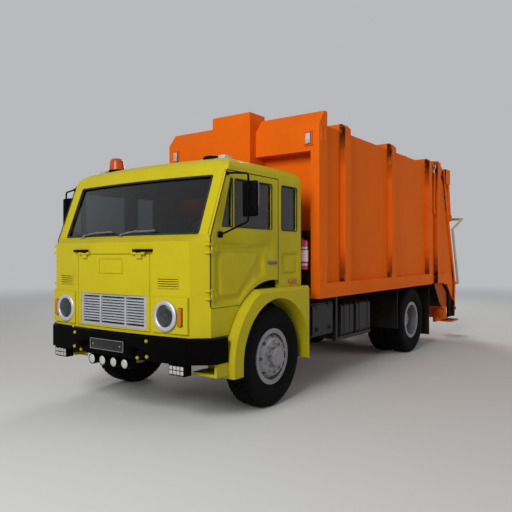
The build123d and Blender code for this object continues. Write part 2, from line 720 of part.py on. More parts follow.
def screen_point(y, z, proud):
    """A point on the windscreen, standing proud of the glass."""
    lean = (SCREEN_X - EAVES_X) / (EAVES_Z - SCREEN_Z)
    x = SCREEN_X - lean * (z - SCREEN_Z) - BOW * (y / (CAB_HALF - CORNER_Y)) ** 2
    return (x - 19 + proud, y, z + 0.36 * proud)


def wipers():
    """Two wiper arms with their blades."""
    shapes = []
    for y in (-640, -10):
        arm = rod((1124, y, 1790), screen_point(y + 40, 1838, 40), 14)
        arm += rod(screen_point(y + 30, 1836, 40), screen_point(y + 270, 1872, 34), 8)
        arm += rod(screen_point(y + 90, 1858, 27), screen_point(y + 490, 1872, 27), 9)
        shapes.append(arm)
    return (Part() + shapes) - WALLS


# Lamps
def clear_lamps():
    """Headlamps, bumper lamps and white markers."""
    shapes = []
    for side in (1, -1):
        ring = [(0, 1170), (148, 1170), (148, 1230), (140, 1240), (112, 1240), (104, 1222), (0, 1214)]
        shapes.append(faced(ring, side * LAMP_Y, 1060))
        for y in (85, 250):
            shapes.append(rod((1197.3, side * y, 560), (1276, side * y, 560), 51))
        shapes.append(box(1138.3, 1200, side * (CAB_HALF - 380), side * (CAB_HALF - 180), 512, 607.6))
        y = side * (PANEL_Y0 - 24)
        shapes.append(box(BODY_FRONT + 0.3, BODY_FRONT + 26, y - 35, y + 35, above(-230), above(-98)))
        marker = Pos(530, side * (CAB_HALF - 240), EAVES_Z + 139) * Box(116, 84, 106)
        shapes.append(marker - CROWN)
    return Part() + shapes


def amber_lamps(cab):
    """Front indicators, side markers and the roof beacons."""
    shapes = []
    for side in (1, -1):
        shapes.append(box(1180, 1230, side * (LAMP_Y + 154), side * (LAMP_Y + 206), 970, 1145) - cab)
        shapes.append(box(-452, -292, side * (CAB_HALF + PLAY), side * (CAB_HALF + 16), 1310, 1367))
    for side in (1, -1):
        y = side * BEACON_Y
        dome = Pos(BEACON_X, y, BEACON_Z - 60) * Cylinder(BEACON_R + 4, 120)
        dome += Pos(BEACON_X, y, BEACON_Z + 73) * Cylinder(BEACON_R, 146)
        dome = fillet(dome.edges().sort_by(Axis.Z)[-1], 40)
        shapes.append(dome - CROWN)
    return Part() + shapes


# Load body
def body_floor():
    """The deck on its two runners."""
    deck = box(BODY_REAR, -880, -PANEL_Y0, PANEL_Y0, DECK_Z0, DECK_Z1)
    for side in (1, -1):
        deck += box(BODY_REAR, -880, side * 350, side * 430, RAIL_Z1, DECK_Z0)
    for x in (-1300, -2400, -WHEELBASE + 710, -WHEELBASE - 650):
        deck += box(x, x + 80, -PANEL_Y0 + 5, PANEL_Y0 - 5, DECK_Z0 - 12, DECK_Z0)
    return deck


def body_sides():
    """The side walls with rails, posts, ribs and ram lugs."""
    side = box(BODY_REAR, WALL_FRONT, PANEL_Y0, PANEL_Y1, BODY_Z0, SIDE_TOP)
    side += box(BODY_REAR + 40, WALL_FRONT, PANEL_Y0, RIB_Y, BODY_Z0, RAIL_TOP)
    post = [
        (WALL_FRONT, BODY_Z0), (BODY_FRONT, BODY_Z0), (BODY_FRONT, SIDE_TOP),
        (WALL_FRONT + 70, BEAM_TOP), (WALL_FRONT, BEAM_TOP),
    ]
    side += side_prism(post, PANEL_Y0, RIB_Y)
    for x in RIB_X:
        rib = [(x + 12, PANEL_Y1 - 5), (x, RIB_Y), (x - RIB_WIDE, RIB_Y), (x - RIB_WIDE - 12, PANEL_Y1 - 5)]
        side += plan_prism(rib, RAIL_TOP - 5, SIDE_TOP)
    low = PANEL_Y1 + 5
    high = RAM_Y - 4
    lug = box(RAM_BASE[0], RIB_X[2] - RIB_WIDE + 5, low, high, RAM_BASE[1] - 38, RAM_BASE[1] + 38)
    lug += cross_rod(RAM_BASE[0], RAM_BASE[1], 38, low, high)
    side += lug
    side += cross_rod(RAM_BASE[0], RAM_BASE[1], 16, high - 8, RIB_Y)
    return both(side)


def body_roof():
    """The roof sheet with its cross ribs and hinge ears."""
    roof = box(BODY_REAR, WALL_FRONT, -PANEL_Y1, PANEL_Y1, SIDE_TOP, SIDE_TOP + 40)
    for x in RIB_X:
        half = [(RIB_Y, SIDE_TOP), (RIB_Y, RIB_TOP - 50), (RIB_Y - 50, RIB_TOP)]
        rib = half + [(-y, z) for y, z in reversed(half)]
        roof += front_prism(rib, x - RIB_WIDE, x)
    for side in (1, -1):
        ear = box(HINGE[0] - 28, HINGE[0] + 45, side * 640, side * 690, SIDE_TOP + 10, HINGE[1])
        ear += cross_rod(HINGE[0], HINGE[1], 45, side * 640, side * 690)
        roof += ear
        roof += cross_rod(HINGE[0], HINGE[1], 18, side * 630, side * 765)
    return roof


def body_front():
    """The front wall, its top beam and the column behind the cab."""
    wall = box(WALL_FRONT - 40, WALL_FRONT, -PANEL_Y0 + 0.3, PANEL_Y0 - 0.3, DECK_Z1, SIDE_TOP)
    beam = [
        (WALL_FRONT, above(-314)), (BODY_FRONT, above(-314)), (BODY_FRONT, SIDE_TOP),
        (WALL_FRONT + 70, BEAM_TOP), (WALL_FRONT, BEAM_TOP),
    ]
    wall += side_prism(beam, -PANEL_Y0 + 0.3, PANEL_Y0 - 0.3)
    wall += box(WALL_FRONT, -740, -310, 310, DECK_Z1, above(250))
    wall -= box(WALL_FRONT, -770, -280, 280, DECK_Z1, above(220))
    return wall


def hydraulic_tank():
    """The oil tank between cab and body."""
    tank = box(WALL_FRONT + 0.3, BODY_FRONT, 320, PANEL_Y0 - 25, DECK_Z1, 1930)
    tank += Pos(-970, 520, 1950) * Cylinder(60, 50)
    return tank


def fire_extinguisher():
    """The extinguisher on the front of the oil tank."""
    x = BODY_FRONT + 77
    y = PANEL_Y0 - 75
    part = Pos(x, y, 1625) * Cylinder(74, 330)
    part += Pos(x, y, 1810) * Cylinder(30, 70)
    for z in (1500, 1700):
        part += box(BODY_FRONT + PLAY, x, y - 20, y + 20, z, z + 40)
    return part


def mudguards():
    """Flaps ahead of and behind the rear wheels."""
    front = -WHEELBASE + 645
    rear = -WHEELBASE - 825
    shapes = [both(box(front - 15, front + 15, 600, PANEL_Y1 + 10, 460, BODY_Z0 - PLAY))]
    shapes.append(both(box(rear - 10, rear + 10, 600, PANEL_Y1 + 20, 200, BODY_Z0 - PLAY)))
    return Part() + shapes


# Doors' mirrors
def mirror_left():
    """The left mirror on its two arms."""
    y = CAB_HALF + 232
    part = box(702, 762, y - 84, y + 86, 2000, 2340)
    part += rod((730, y, 1960), (730, y, 2385), 10)
    part += rod((905, CAB_HALF + 2, 1830), (730, y, 1968), 10)
    part += rod((800, CAB_HALF + 2, 2422), (730, y, 2378), 10)
    part += box(875, 940, CAB_HALF + PLAY, CAB_HALF + 12, 1800, 1860)
    part += box(785, 822, CAB_HALF + PLAY, CAB_HALF + 12, 2405, 2440)
    return part - box(700, 1000, CAB_HALF - 70, CAB_HALF + PLAY, 1700, 2500)


# Tailgate
GATE_REAR = [(aft(550), above(190)), (aft(820), above(50)), (aft(1100), 2340)]
GATE_REAR += [(aft(1540), 1060), (aft(1470), 400)]


def tailgate_sides():
    """The cheeks with posts, rails, rear flange and ram lugs."""
    outline = [(GATE_FRONT, 1110), (GATE_FRONT, above(120))] + GATE_REAR
    outline += [(aft(1190), 400), (aft(1170), 900), (aft(820), 1110)]
    cheek = side_prism(outline, PANEL_Y0, PANEL_Y1)
    cheek += box(aft(820), aft(280), PANEL_Y1 - 5, RIB_Y, 1110, RAIL_TOP)
    post = [(aft(268), PANEL_Y1 - 5), (aft(280), RIB_Y), (aft(440), RIB_Y), (aft(452), PANEL_Y1 - 5)]
    cheek += plan_prism(post, RAIL_TOP - 5, RIB_TOP)
    flange = GATE_REAR[1:] + [(aft(1380), 400), (aft(1445), 1060), (aft(1010), 2340), (aft(735), above(20))]
    cheek += side_prism(flange, PANEL_Y1 - 5, PANEL_Y1 + 30)
    low = PANEL_Y1 + 5
    high = PANEL_Y1 + 16
    lug = box(aft(282), RAM_EYE[0], low, high, RAM_EYE[1] - 36, RAM_EYE[1] + 36)
    lug += cross_rod(RAM_EYE[0], RAM_EYE[1], 36, low, high)
    return both(cheek + lug)


def tailgate_back():
    """The top, the upper back and the carriage plate with its lugs."""
    inner = PANEL_Y0
    skin = [
        (GATE_FRONT, above(120)), (aft(550), above(190)), (aft(820), above(50)), (aft(1050), 2500),
        (aft(1010), 2490), (aft(782), above(26)), (aft(542), above(150)),
        (GATE_FRONT, above(80)),
    ]
    part = side_prism(skin, -inner, inner)
    part += box(aft(590), aft(550), 25 - inner, inner - 25, PACK[1] + 80, above(140))
    for side in (1, -1):
        ear = box(HINGE[0] - 150, HINGE[0], side * 700, side * 750, above(120), HINGE[1] + 20)
        ear += cross_rod(HINGE[0], HINGE[1], 45, side * 700, side * 750)
        ear -= box(HINGE[0] - 40, HINGE[0] + 60, side * 690, side * 760, above(90), HINGE[1] - 45)
        part += ear - cross_rod(HINGE[0], HINGE[1], 18 + PLAY, side * 690, side * 760)
        low = side * (inner - 255)
        high = side * (inner - 215)
        lug = box(PACK[0] - 40, PACK[0] + 40, low, high, PACK[1], PACK[1] + 120)
        lug += cross_rod(PACK[0], PACK[1], 62, low, high)
        part += lug - cross_rod(PACK[0], PACK[1], 50 + PLAY, side * (inner - 265), side * (inner - 205))
    return part


def packer_blade():
    """The packing blade on its pivot tube."""
    half = PANEL_Y0 - 45
    part = cross_rod(PACK[0], PACK[1], 50, 20 - half, half - 20)
    lean = Plane(origin=(PACK[0], 0, PACK[1]), x_dir=(0, 1, 0), z_dir=(-0.55, 0, -0.835))
    part += lean * (Pos(0, 0, 470) * Box(2 * half, 50, 760))
    for y in (60 - half, -450, 450, half - 60):
        part += lean * (Pos(y, 0, 60) * Box(70, 90, 120))
    part += lean * (Pos(0, 0, 835) * Box(2 * half, 90, 50))
    return part


def trough_outline(radius, lip, ramp):
    """Points and arc of the trough at one radius: lip, round bottom, ramp and deck."""
    x, z = aft(1075), 1050
    angle = math.radians(320)
    toe = (x + radius * math.cos(angle), z + radius * math.sin(angle))
    run = (ramp - toe[1]) / math.tan(math.radians(50))
    round_part = [(x - radius, lip), (x - radius, z), (x, z - radius), toe]
    return round_part + [(toe[0] + run, ramp), (GATE_FRONT, ramp)]


def trough_face(radius, lip, ramp, y, closing):
    """The face between a trough outline and a closing polyline."""
    p = [(x, y, z) for x, z in trough_outline(radius, lip, ramp)]
    edges = [Line(p[0], p[1]), ThreePointArc(p[1], _arc_mid(p[1], p[3], radius), p[3])]
    edges += [Line(p[3], p[4]), Line(p[4], p[5])]
    rest = [p[5]] + [(x, y, z) for x, z in closing] + [p[0]]
    edges += list(Polyline(*rest).edges())
    return make_face(edges)


def _arc_mid(start, end, radius):
    """The middle of the trough's round bottom."""
    angle = math.radians(250)
    return (aft(1075) + radius * math.cos(angle), start[1], 1050 + radius * math.sin(angle))


def hopper_trough():
    """The loading trough with its ends, rear beam, steps and lift lugs."""
    half = PANEL_Y0
    closing = [(GATE_FRONT, 1300), (aft(970), 1300)]
    outer = extrude(trough_face(470, 1100, 1160, -half, closing), 2 * half, dir=(0, 1, 0))
    high = [(GATE_FRONT, 1400), (aft(970), 1400)]
    inner = extrude(trough_face(440, 1130, 1190, -half + 25, high), 2 * half - 50, dir=(0, 1, 0))
    part = outer - inner - box(aft(1970), aft(-30), -half - 175, half + 175, 1190, 1500)
    part += box(aft(1545), aft(1515), -half, half, 1050, 1100)
    part += box(aft(1160), aft(1020), -half, half, 390, 590)
    for side in (1, -1):
        part += box(aft(1870), aft(1450), side * 760, side * 1160, 270, 300)
        part += box(aft(1830), aft(1030), side * 900, side * 960, 300, 400)
        lug = box(LIP[0], aft(1530), side * 930, side * 970, LIP[1] - 45, LIP[1] + 45)
        lug += cross_rod(LIP[0], LIP[1], 45, side * 930, side * 970)
        part += lug - cross_rod(LIP[0], LIP[1], 24 + PLAY, side * 920, side * 980)
    return part


def bin_lift():
    """The bin lift: two bent arms, foot tube, head bar and comb."""
    part = cross_rod(LIP[0], LIP[1], 24, -ARM_Y, ARM_Y)
    for side in (1, -1):
        y = side * ARM_Y
        part += rod((LIP[0], y, LIP[1]), (aft(1220), y, 2140), 24)
        part += Pos(aft(1220), y, 2140) * Sphere(26)
        part += rod((aft(1220), y, 2140), (aft(1870), y, 2370), 24)
        part += Pos(LIP[0], y, LIP[1]) * Sphere(26)
    part += cross_rod(aft(1870), 2370, 24, -ARM_Y - 10, ARM_Y + 10)
    for i in range(11):
        y = -500 + 100 * i
        part += box(aft(1882), aft(1858), y - 20, y + 20, 2370, 2450)
    return part


def packer_cylinders(cheeks):
    """The outside packing cylinders with their brackets."""
    low = PANEL_Y0 + 5
    high = PANEL_Y1 + 55
    part = box(aft(1090), aft(830), low, high, above(-210), above(70))
    part += rod((aft(1030), PANEL_Y1 + 10, above(-160)), (aft(1160), PANEL_Y1 + 10, 2350), 42)
    part += cross_rod(aft(1155), 2350, 62, low, high)
    return both(part - cheeks)


def ram_axis():
    """Direction and length from the ram's base to its eye."""
    run = Vector(RAM_EYE[0] - RAM_BASE[0], 0, RAM_EYE[1] - RAM_BASE[1])
    return run.normalized(), run.length


def ram_point(distance):
    """A point on the left ram's axis."""
    way, _ = ram_axis()
    return (RAM_BASE[0] + way.X * distance, RAM_Y, RAM_BASE[1] + way.Z * distance)


def ram_barrel():
    """The left lift cylinder's barrel with its base eye."""
    part = rod(ram_point(48), ram_point(RAM_BARREL), 32)
    part -= rod(ram_point(75), ram_point(RAM_BARREL + 10), 18 + PLAY)
    low = RAM_Y + 4
    eye = cross_rod(RAM_BASE[0], RAM_BASE[1], 38, low, low + 28)
    eye += box(RAM_BASE[0] - 22, RAM_BASE[0] + 18, low, low + 24, RAM_BASE[1] + 20, RAM_BASE[1] + 60)
    part += eye - cross_rod(RAM_BASE[0], RAM_BASE[1], 16 + PLAY, low - 60, low + 90)
    return part


def ram_rod():
    """The left lift cylinder's rod with its eye."""
    _, length = ram_axis()
    part = rod(ram_point(110), ram_point(length - 48), 18)
    low = RAM_Y + 4
    part += cross_rod(RAM_EYE[0], RAM_EYE[1], 36, low, low + 28)
    part += box(RAM_EYE[0] - 16, RAM_EYE[0] + 20, low, low + 14, RAM_EYE[1] - 62, RAM_EYE[1] - 20)
    return part


def tail_lamps():
    """Lamp blocks on the rear beam."""
    return both(box(aft(1186), aft(1160.3), 960, 1110, 420, 560))


cab = cab_front()
cheeks = tailgate_sides()
NODES = {
    "chassis_frame": chassis_rails() + chassis_crossmembers(),
    "front_axle": front_axle(),
    "rear_axle": rear_axle(),
    "leaf_springs": leaf_springs(),
    "engine_gearbox": engine_gearbox(),
    "fuel_tank": fuel_tank(),
    "tool_locker": tool_locker(),
    "air_tanks": air_tanks(),
    "silencer": silencer(),
    "front_bumper": front_bumper(),
    "cab_front": cab,
    "cab_quarters": cab_quarters(),
    "cab_back": cab_back(),
    "cab_roof": cab_roof(),
    "cab_floor": cab_floor(),
    "cab_glass": cab_glass(),
    "front_fenders": both(fender_left()),
    "dashboard": dashboard() + steering_wheel(),
    "seats": seats(),
    "wipers": wipers(),
    "clear_lamps": clear_lamps(),
    "amber_lamps": amber_lamps(cab),
    "body_floor": body_floor(),
    "body_sides": body_sides(),
    "body_roof": body_roof(),
    "body_front": body_front(),
    "hydraulic_tank": hydraulic_tank(),
    "fire_extinguisher": fire_extinguisher(),
    "mudguards": mudguards(),
    "front_flap": front_flap(),
    "grille": grille(),
    "tailgate_sides": cheeks,
    "tailgate_back": tailgate_back(),
    "hopper_trough": hopper_trough(),
    "packer_cylinders": packer_cylinders(cheeks),
    "tail_lamps": tail_lamps(),
    "packer_blade": packer_blade(),
    "bin_lift": bin_lift(),
}
PAIRS = {
    "door": door_left(),
    "door_glass": door_glass(),
    "mirror": mirror_left(),
    "knuckle": knuckle(),
    "front_tyre": tyre(0, FRONT_TRACK_Y),
    "front_rim": front_rim(),
    "rear_tyres": Part() + [tyre(-WHEELBASE, REAR_OUTER_Y), tyre(-WHEELBASE, REAR_INNER_Y)],
    "rear_rims": rear_rim(),
    "ram_barrel": ram_barrel(),
    "ram_rod": ram_rod(),
}
for name, shape in PAIRS.items():
    NODES[name + "_left"] = shape
    NODES[name + "_right"] = mirrored(shape)

os.makedirs("parts", exist_ok=True)
for name, shape in NODES.items():
    placed = Pos(-MID_X, 0, 0) * shape
    placed.label = name
    export_step(placed, f"parts/{name}.step")
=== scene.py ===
"""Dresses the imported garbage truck: finishes, tyres, lamps, seats, trim, stage and camera."""

import json
import logging
import math
from dataclasses import dataclass
from enum import Enum

import bmesh
import bpy
from mathutils import Matrix, Vector


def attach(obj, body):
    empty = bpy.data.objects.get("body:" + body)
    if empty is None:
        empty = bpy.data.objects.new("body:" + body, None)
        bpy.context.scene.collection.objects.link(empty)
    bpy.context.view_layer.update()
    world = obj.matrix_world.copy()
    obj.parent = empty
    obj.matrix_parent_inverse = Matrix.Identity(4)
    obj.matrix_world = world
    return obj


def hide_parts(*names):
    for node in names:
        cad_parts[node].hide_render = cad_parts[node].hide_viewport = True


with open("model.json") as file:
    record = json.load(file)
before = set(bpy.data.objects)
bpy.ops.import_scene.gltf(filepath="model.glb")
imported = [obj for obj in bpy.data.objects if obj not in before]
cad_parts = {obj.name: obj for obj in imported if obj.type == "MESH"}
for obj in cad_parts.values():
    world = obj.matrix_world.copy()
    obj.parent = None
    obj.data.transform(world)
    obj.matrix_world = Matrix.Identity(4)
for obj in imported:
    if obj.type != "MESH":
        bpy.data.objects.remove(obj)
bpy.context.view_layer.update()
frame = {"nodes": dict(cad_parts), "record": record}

LOG = logging.getLogger("truck")

# Pieces are drawn in millimetres from the front axle, as the solids were, and then put in the row frame.
SHIFT = 2.7795
TO_ROW = Matrix.Translation((SHIFT, 0, 0)) @ Matrix.Scale(0.001, 4)
REAR_AXLE = -4150.0
X_AXIS = Vector((1, 0, 0))
Y_AXIS = Vector((0, 1, 0))
Z_AXIS = Vector((0, 0, 1))
FULL_TURN = 2 * math.pi

# Where in a noise's range a finish shades off, and where it takes dirt
SHADE_SPAN = (0.35, 0.7)
DIRT_SPAN = (0.5, 0.78)
# The roughness of a clear coat, and what dirt adds to a finish's own
COAT_ROUGHNESS = 0.12
DIRT_ROUGHENS = 0.35
# The height up to which road splash is at its most, and its share there
ROAD_SPLASH = (0.25, 0.55)

Point = tuple[float, float, float]
Pair = tuple[float, float]
Tree = bpy.types.NodeTree
Socket = bpy.types.NodeSocket


class Body(Enum):
    """The moving bodies that carry pieces."""

    TRUCK = "truck"
    TAILGATE = "tailgate"
    LEFT_DOOR = "left_door"
    RIGHT_DOOR = "right_door"
    LEFT_FRONT = "left_front_wheel"
    RIGHT_FRONT = "right_front_wheel"
    LEFT_REAR = "left_rear_wheels"
    RIGHT_REAR = "right_rear_wheels"


class Side(Enum):
    """The truck's two sides, with the sign of their y."""

    LEFT = 1
    RIGHT = -1

    @property
    def word(self) -> str:
        """The side's name in node and piece names."""
        return self.name.lower()


def linear(code: str) -> tuple[float, float, float, float]:
    """Turns an sRGB hex colour to linear light.

    Args:
        code: six hex digits after a hash.

    Returns:
        Red, green, blue and alpha.
    """
    parts = [int(code[i:i + 2], 16) / 255 for i in (1, 3, 5)]
    bright = [c / 12.92 if c <= 0.04045 else ((c + 0.055) / 1.055) ** 2.4 for c in parts]
    return (*bright, 1.0)


def per_mm(size: float) -> float:
    """The noise scale whose patches are about that many millimetres across."""
    return 1000 / size


def bands(size: float) -> float:
    """The wave scale whose bands repeat every so many millimetres."""
    return 1000 / size * math.pi / 10


def rounded(corners: list[Pair], reach: float, spans: int = 1) -> list[Pair]:
    """Control points of a closed line along an outline with rounded corners.

    Args:
        corners: the outline's corners in order.
        reach: how far from a corner the rounding starts.
        spans: the number of spans along each side.

    Returns:
        The control points in order.
    """
    points = []
    for i, corner in enumerate(corners):
        here = Vector(corner)
        before = Vector(corners[i - 1])
        after = Vector(corners[(i + 1) % len(corners)])
        start = here + (after - here).normalized() * reach
        stop = after + (here - after).normalized() * reach
        points += [here + (before - here).normalized() * reach, here]
        points += [start.lerp(stop, k / spans) for k in range(spans)]
    return [tuple(p) for p in points]


def add(tree: Tree, kind: str, values: dict | None = None, **settings) -> bpy.types.Node:
    """Adds one node with its settings and links.

    Args:
        tree: the node tree that gets it.
        kind: the node's type, without its ShaderNode prefix.
        values: socket name or index to a constant, or to the output that feeds it.
        settings: attributes of the node itself.

    Returns:
        The new node.
    """
    made = tree.nodes.new("ShaderNode" + kind)
    for name, value in settings.items():
        setattr(made, name, value)
    for key, value in (values or {}).items():
        if isinstance(value, Socket):
            tree.links.new(value, made.inputs[key])
        else:
            made.inputs[key].default_value = value
    return made


def ramp(tree: Tree, value: Socket, start: float, stop: float, low: float = 0.0, high: float = 1.0) -> Socket:
    """Maps a value from one span to another and holds it at the ends.

    Args:
        tree: the node tree.
        value: the value.
        start: where its span starts, above the stop for a falling result.
        stop: where its span ends.
        low: the result at the start.
        high: the result at the stop.

    Returns:
        The result.
    """
    spans = {"From Min": start, "From Max": stop, "To Min": low, "To Max": high}
    return add(tree, "MapRange", {"Value": value, **spans}).outputs["Result"]


def maths(tree: Tree, operation: str, *values: Socket | float, clamp: bool = False) -> Socket:
    """The result of one arithmetic node on its values."""
    return add(tree, "Math", dict(enumerate(values)), operation=operation, use_clamp=clamp).outputs[0]


def blend(tree: Tree, share: Socket, first: Socket | tuple, second: Socket | tuple) -> Socket:
    """A colour between two others."""
    return add(tree, "Mix", {0: share, 6: first, 7: second}, data_type="RGBA").outputs[2]


def noise(tree: Tree, where: Socket, size: float, detail: float, roughness: float = 0.5) -> Socket:
    """Clouds whose patches are about so many millimetres across."""
    values = {"Vector": where, "Scale": per_mm(size), "Detail": detail, "Roughness": roughness}
    return add(tree, "TexNoise", values).outputs["Fac"]


def split(tree: Tree, vector: Socket) -> tuple[Socket, Socket, Socket]:
    """The three parts of a vector."""
    return tuple(add(tree, "SeparateXYZ", {"Vector": vector}).outputs)


def facing(tree: Tree) -> tuple[Socket, Socket, Socket]:
    """The three parts of the surface's own normal."""
    return split(tree, add(tree, "TexCoord").outputs["Normal"])


@dataclass(frozen=True)
class Finish:
    """A surface finish: a colour that wanders, dirt in patches, and a fine grain.

    The wander and dirt sizes are in millimetres, and so are the grain's size and depth.
    """

    name: str
    slot: str
    colour: str
    shade: str
    dirt: str = "#3A3530"
    roughness: float = 0.4
    metallic: float = 0.0
    coat: float = 0.0
    specular: float = 0.5
    wander: float = 900.0
    patch: float = 260.0
    dirt_share: float = 0.25
    splash_top: float = 0.0
    grain: float = 2.0
    grain_depth: float = 0.05

    def material(self) -> bpy.types.Material:
        """The finish's material, made on its first use."""
        return bpy.data.materials.get(self.name) or self._make()

    def _make(self) -> bpy.types.Material:
        """Builds the node tree.

        Returns:
            The new material.
        """
        made = bpy.data.materials.new(self.name)
        made.use_nodes = True
        tree = made.node_tree
        shader = tree.nodes["Principled BSDF"]
        shader.inputs["Metallic"].default_value = self.metallic
        shader.inputs["Coat Weight"].default_value = self.coat
        shader.inputs["Coat Roughness"].default_value = COAT_ROUGHNESS
        shader.inputs["Specular IOR Level"].default_value = self.specular
        where = add(tree, "TexCoord").outputs["Object"]
        mask = self.dirt_mask(tree, where)
        colour = blend(tree, mask, self.base_colour(tree, where), linear(self.dirt))
        tree.links.new(colour, shader.inputs["Base Color"])
        rough = ramp(tree, mask, 0, 1, self.roughness, min(1.0, self.roughness + DIRT_ROUGHENS))
        tree.links.new(rough, shader.inputs["Roughness"])
        self.relief(tree, where, shader)
        return made

    def base_colour(self, tree: Tree, where: Socket) -> Socket:
        """The clean colour, wandering between colour and shade.

        Args:
            tree: the material's node tree.
            where: object coordinates.

        Returns:
            The colour socket.
        """
        share = ramp(tree, noise(tree, where, self.wander, 4), *SHADE_SPAN, high=0.5)
        return blend(tree, share, linear(self.colour), linear(self.shade))

    def dirt_mask(self, tree: Tree, where: Socket) -> Socket:
        """Dirt in patches, thicker towards the road below the splash height.

        Args:
            tree: the material's node tree.
            where: object coordinates.

        Returns:
            A socket from 0, clean, to 1.
        """
        cloud = noise(tree, where, self.patch, 7, 0.65)
        patches = ramp(tree, cloud, *DIRT_SPAN, high=self.dirt_share)
        if not self.splash_top:
            return patches
        height = split(tree, where)[2]
        start, most = ROAD_SPLASH
        low = ramp(tree, height, start, self.splash_top, most, 0)
        return maths(tree, "ADD", patches, maths(tree, "MULTIPLY", low, cloud), clamp=True)

    def relief(self, tree: Tree, where: Socket, shader: bpy.types.Node) -> None:
        """Adds the fine grain as a bump.

        Args:
            tree: the material's node tree.
            where: object coordinates.
            shader: the principled shader.
        """
        self.bump(tree, noise(tree, where, self.grain, 3), 0.25, self.grain_depth, shader)

    def bump(self, tree: Tree, height: Socket, strength: float, depth: float, shader: bpy.types.Node) -> None:
        """Joins a height to the shader as a bump so many millimetres deep."""
        made = add(tree, "Bump", {"Height": height, "Strength": strength, "Distance": depth / 1000})
        tree.links.new(made.outputs["Normal"], shader.inputs["Normal"])


@dataclass(frozen=True)
class BodyPaint(Finish):
    """Load-body enamel with sooty grime and painted shade, darker at the ends of the ribs' front and rear
    faces.
    """

    low: Pair = (1.28, 1.75)
    high: Pair = (2.75, 3.2)
    side: Pair = (1.15, 1.17)
    front: Pair = (1.6, 1.5)

    def dirt_mask(self, tree: Tree, where: Socket) -> Socket:
        """The plain dirt, with sooty grime and painted shade at the foot and head of faces that look forward
        or back.
        """
        x, y, z = split(tree, where)
        # Sooty grime and painted shade: darker at the foot and head of the ribs' front and rear faces
        soot_and_shade = maths(tree, "MAXIMUM", ramp(tree, z, *self.low, 1, 0), ramp(tree, z, *self.high))
        turned = ramp(tree, maths(tree, "ABSOLUTE", facing(tree)[0]), 0.75, 0.95)
        outer = ramp(tree, maths(tree, "ABSOLUTE", y), *self.side)
        behind = ramp(tree, x, *self.front)
        smear = ramp(tree, noise(tree, where, 120, 6), 0.2, 0.5, high=0.95)
        for other in (turned, outer, behind, smear):
            soot_and_shade = maths(tree, "MULTIPLY", soot_and_shade, other)
        return maths(tree, "ADD", super().dirt_mask(tree, where), soot_and_shade, clamp=True)


@dataclass(frozen=True)
class CheekPaint(BodyPaint):
    """Load-body enamel whose lower front corner is painted black as the shadow under the tailgate.

    The corner is what lies below a height and ahead of a line that leans back towards the road.
    """

    corner_top: float = 1.06
    corner_x: float = -3.3
    lean: float = 1.1
    painted_shade_colour: str = "#0B0A0A"

    def base_colour(self, tree: Tree, where: Socket) -> Socket:
        """The paint's colour with the corner painted black as shadow."""
        x, _, z = split(tree, where)
        below = ramp(tree, z, self.corner_top + 0.01, self.corner_top - 0.01)
        edge = self.corner_x - self.lean * self.corner_top
        ahead = ramp(tree, maths(tree, "MULTIPLY_ADD", z, -self.lean, x), edge - 0.01, edge + 0.01)
        paint = super().base_colour(tree, where)
        # Painted shadow: the lower front corner turns black
        return blend(tree, maths(tree, "MULTIPLY", below, ahead), paint, linear(self.painted_shade_colour))


@dataclass(frozen=True)
class HopperPaint(Finish):
    """Load-body enamel with painted black shade where the trough looks ahead or down, and worn to steel
    inside it.
    """

    painted_shade_colour: str = "#0B0A0A"
    steel: str = "#4A443E"
    low: float = 0.62

    def base_colour(self, tree: Tree, where: Socket) -> Socket:
        """The paint's colour with painted shade on the outside and the worn inside."""
        ahead, _, up = facing(tree)
        tilt = maths(tree, "SUBTRACT", ahead, up)
        above = ramp(tree, split(tree, where)[2], self.low - 0.01, self.low + 0.01)
        # Painted shade: black on faces that look ahead or down, above a height
        under = maths(tree, "MULTIPLY", above, ramp(tree, tilt, -0.1, 0.1))
        bare = ramp(tree, noise(tree, where, 160, 8, 0.7), 0.36, 0.5)
        worn = maths(tree, "MULTIPLY", ramp(tree, tilt, -0.5, -0.8), bare)
        rubbed = blend(tree, worn, super().base_colour(tree, where), linear(self.steel))
        return blend(tree, under, rubbed, linear(self.painted_shade_colour))


@dataclass(frozen=True)
class Glass(Finish):
    """Clear or tinted glass and plastic lenses, with a film of dust."""

    through: float = 1.0
    ior: float = 1.45
    flute: float = 0.0

    def _make(self) -> bpy.types.Material:
        """Builds a transmissive node tree with dust and, for lenses, flutes."""
        made = super()._make()
        shader = made.node_tree.nodes["Principled BSDF"]
        shader.inputs["Transmission Weight"].default_value = self.through
        shader.inputs["IOR"].default_value = self.ior
        return made

    def relief(self, tree: Tree, where: Socket, shader: bpy.types.Node) -> None:
        """Flutes across the lens, or nothing on flat panes."""
        if self.flute:
            ribs = add(tree, "TexWave", {"Vector": where, "Scale": bands(self.flute)}, bands_direction="Y")
            self.bump(tree, ribs.outputs["Fac"], 0.6, 2, shader)


@dataclass(frozen=True)
class Cloth(Finish):
    """Woven cloth: two crossed sets of threads."""

    thread: float = 6.0

    def relief(self, tree: Tree, where: Socket, shader: bpy.types.Node) -> None:
        """Crossed threads as bands, drawn coarser than real so that they show."""
        values = {"Vector": where, "Scale": bands(self.thread)}
        threads = [add(tree, "TexWave", values, bands_direction=way) for way in ("Y", "DIAGONAL")]
        weave = maths(tree, "MULTIPLY", *(t.outputs["Fac"] for t in threads))
        self.bump(tree, weave, 0.6, 1, shader)
        shader.inputs["Sheen Weight"].default_value = 0.3


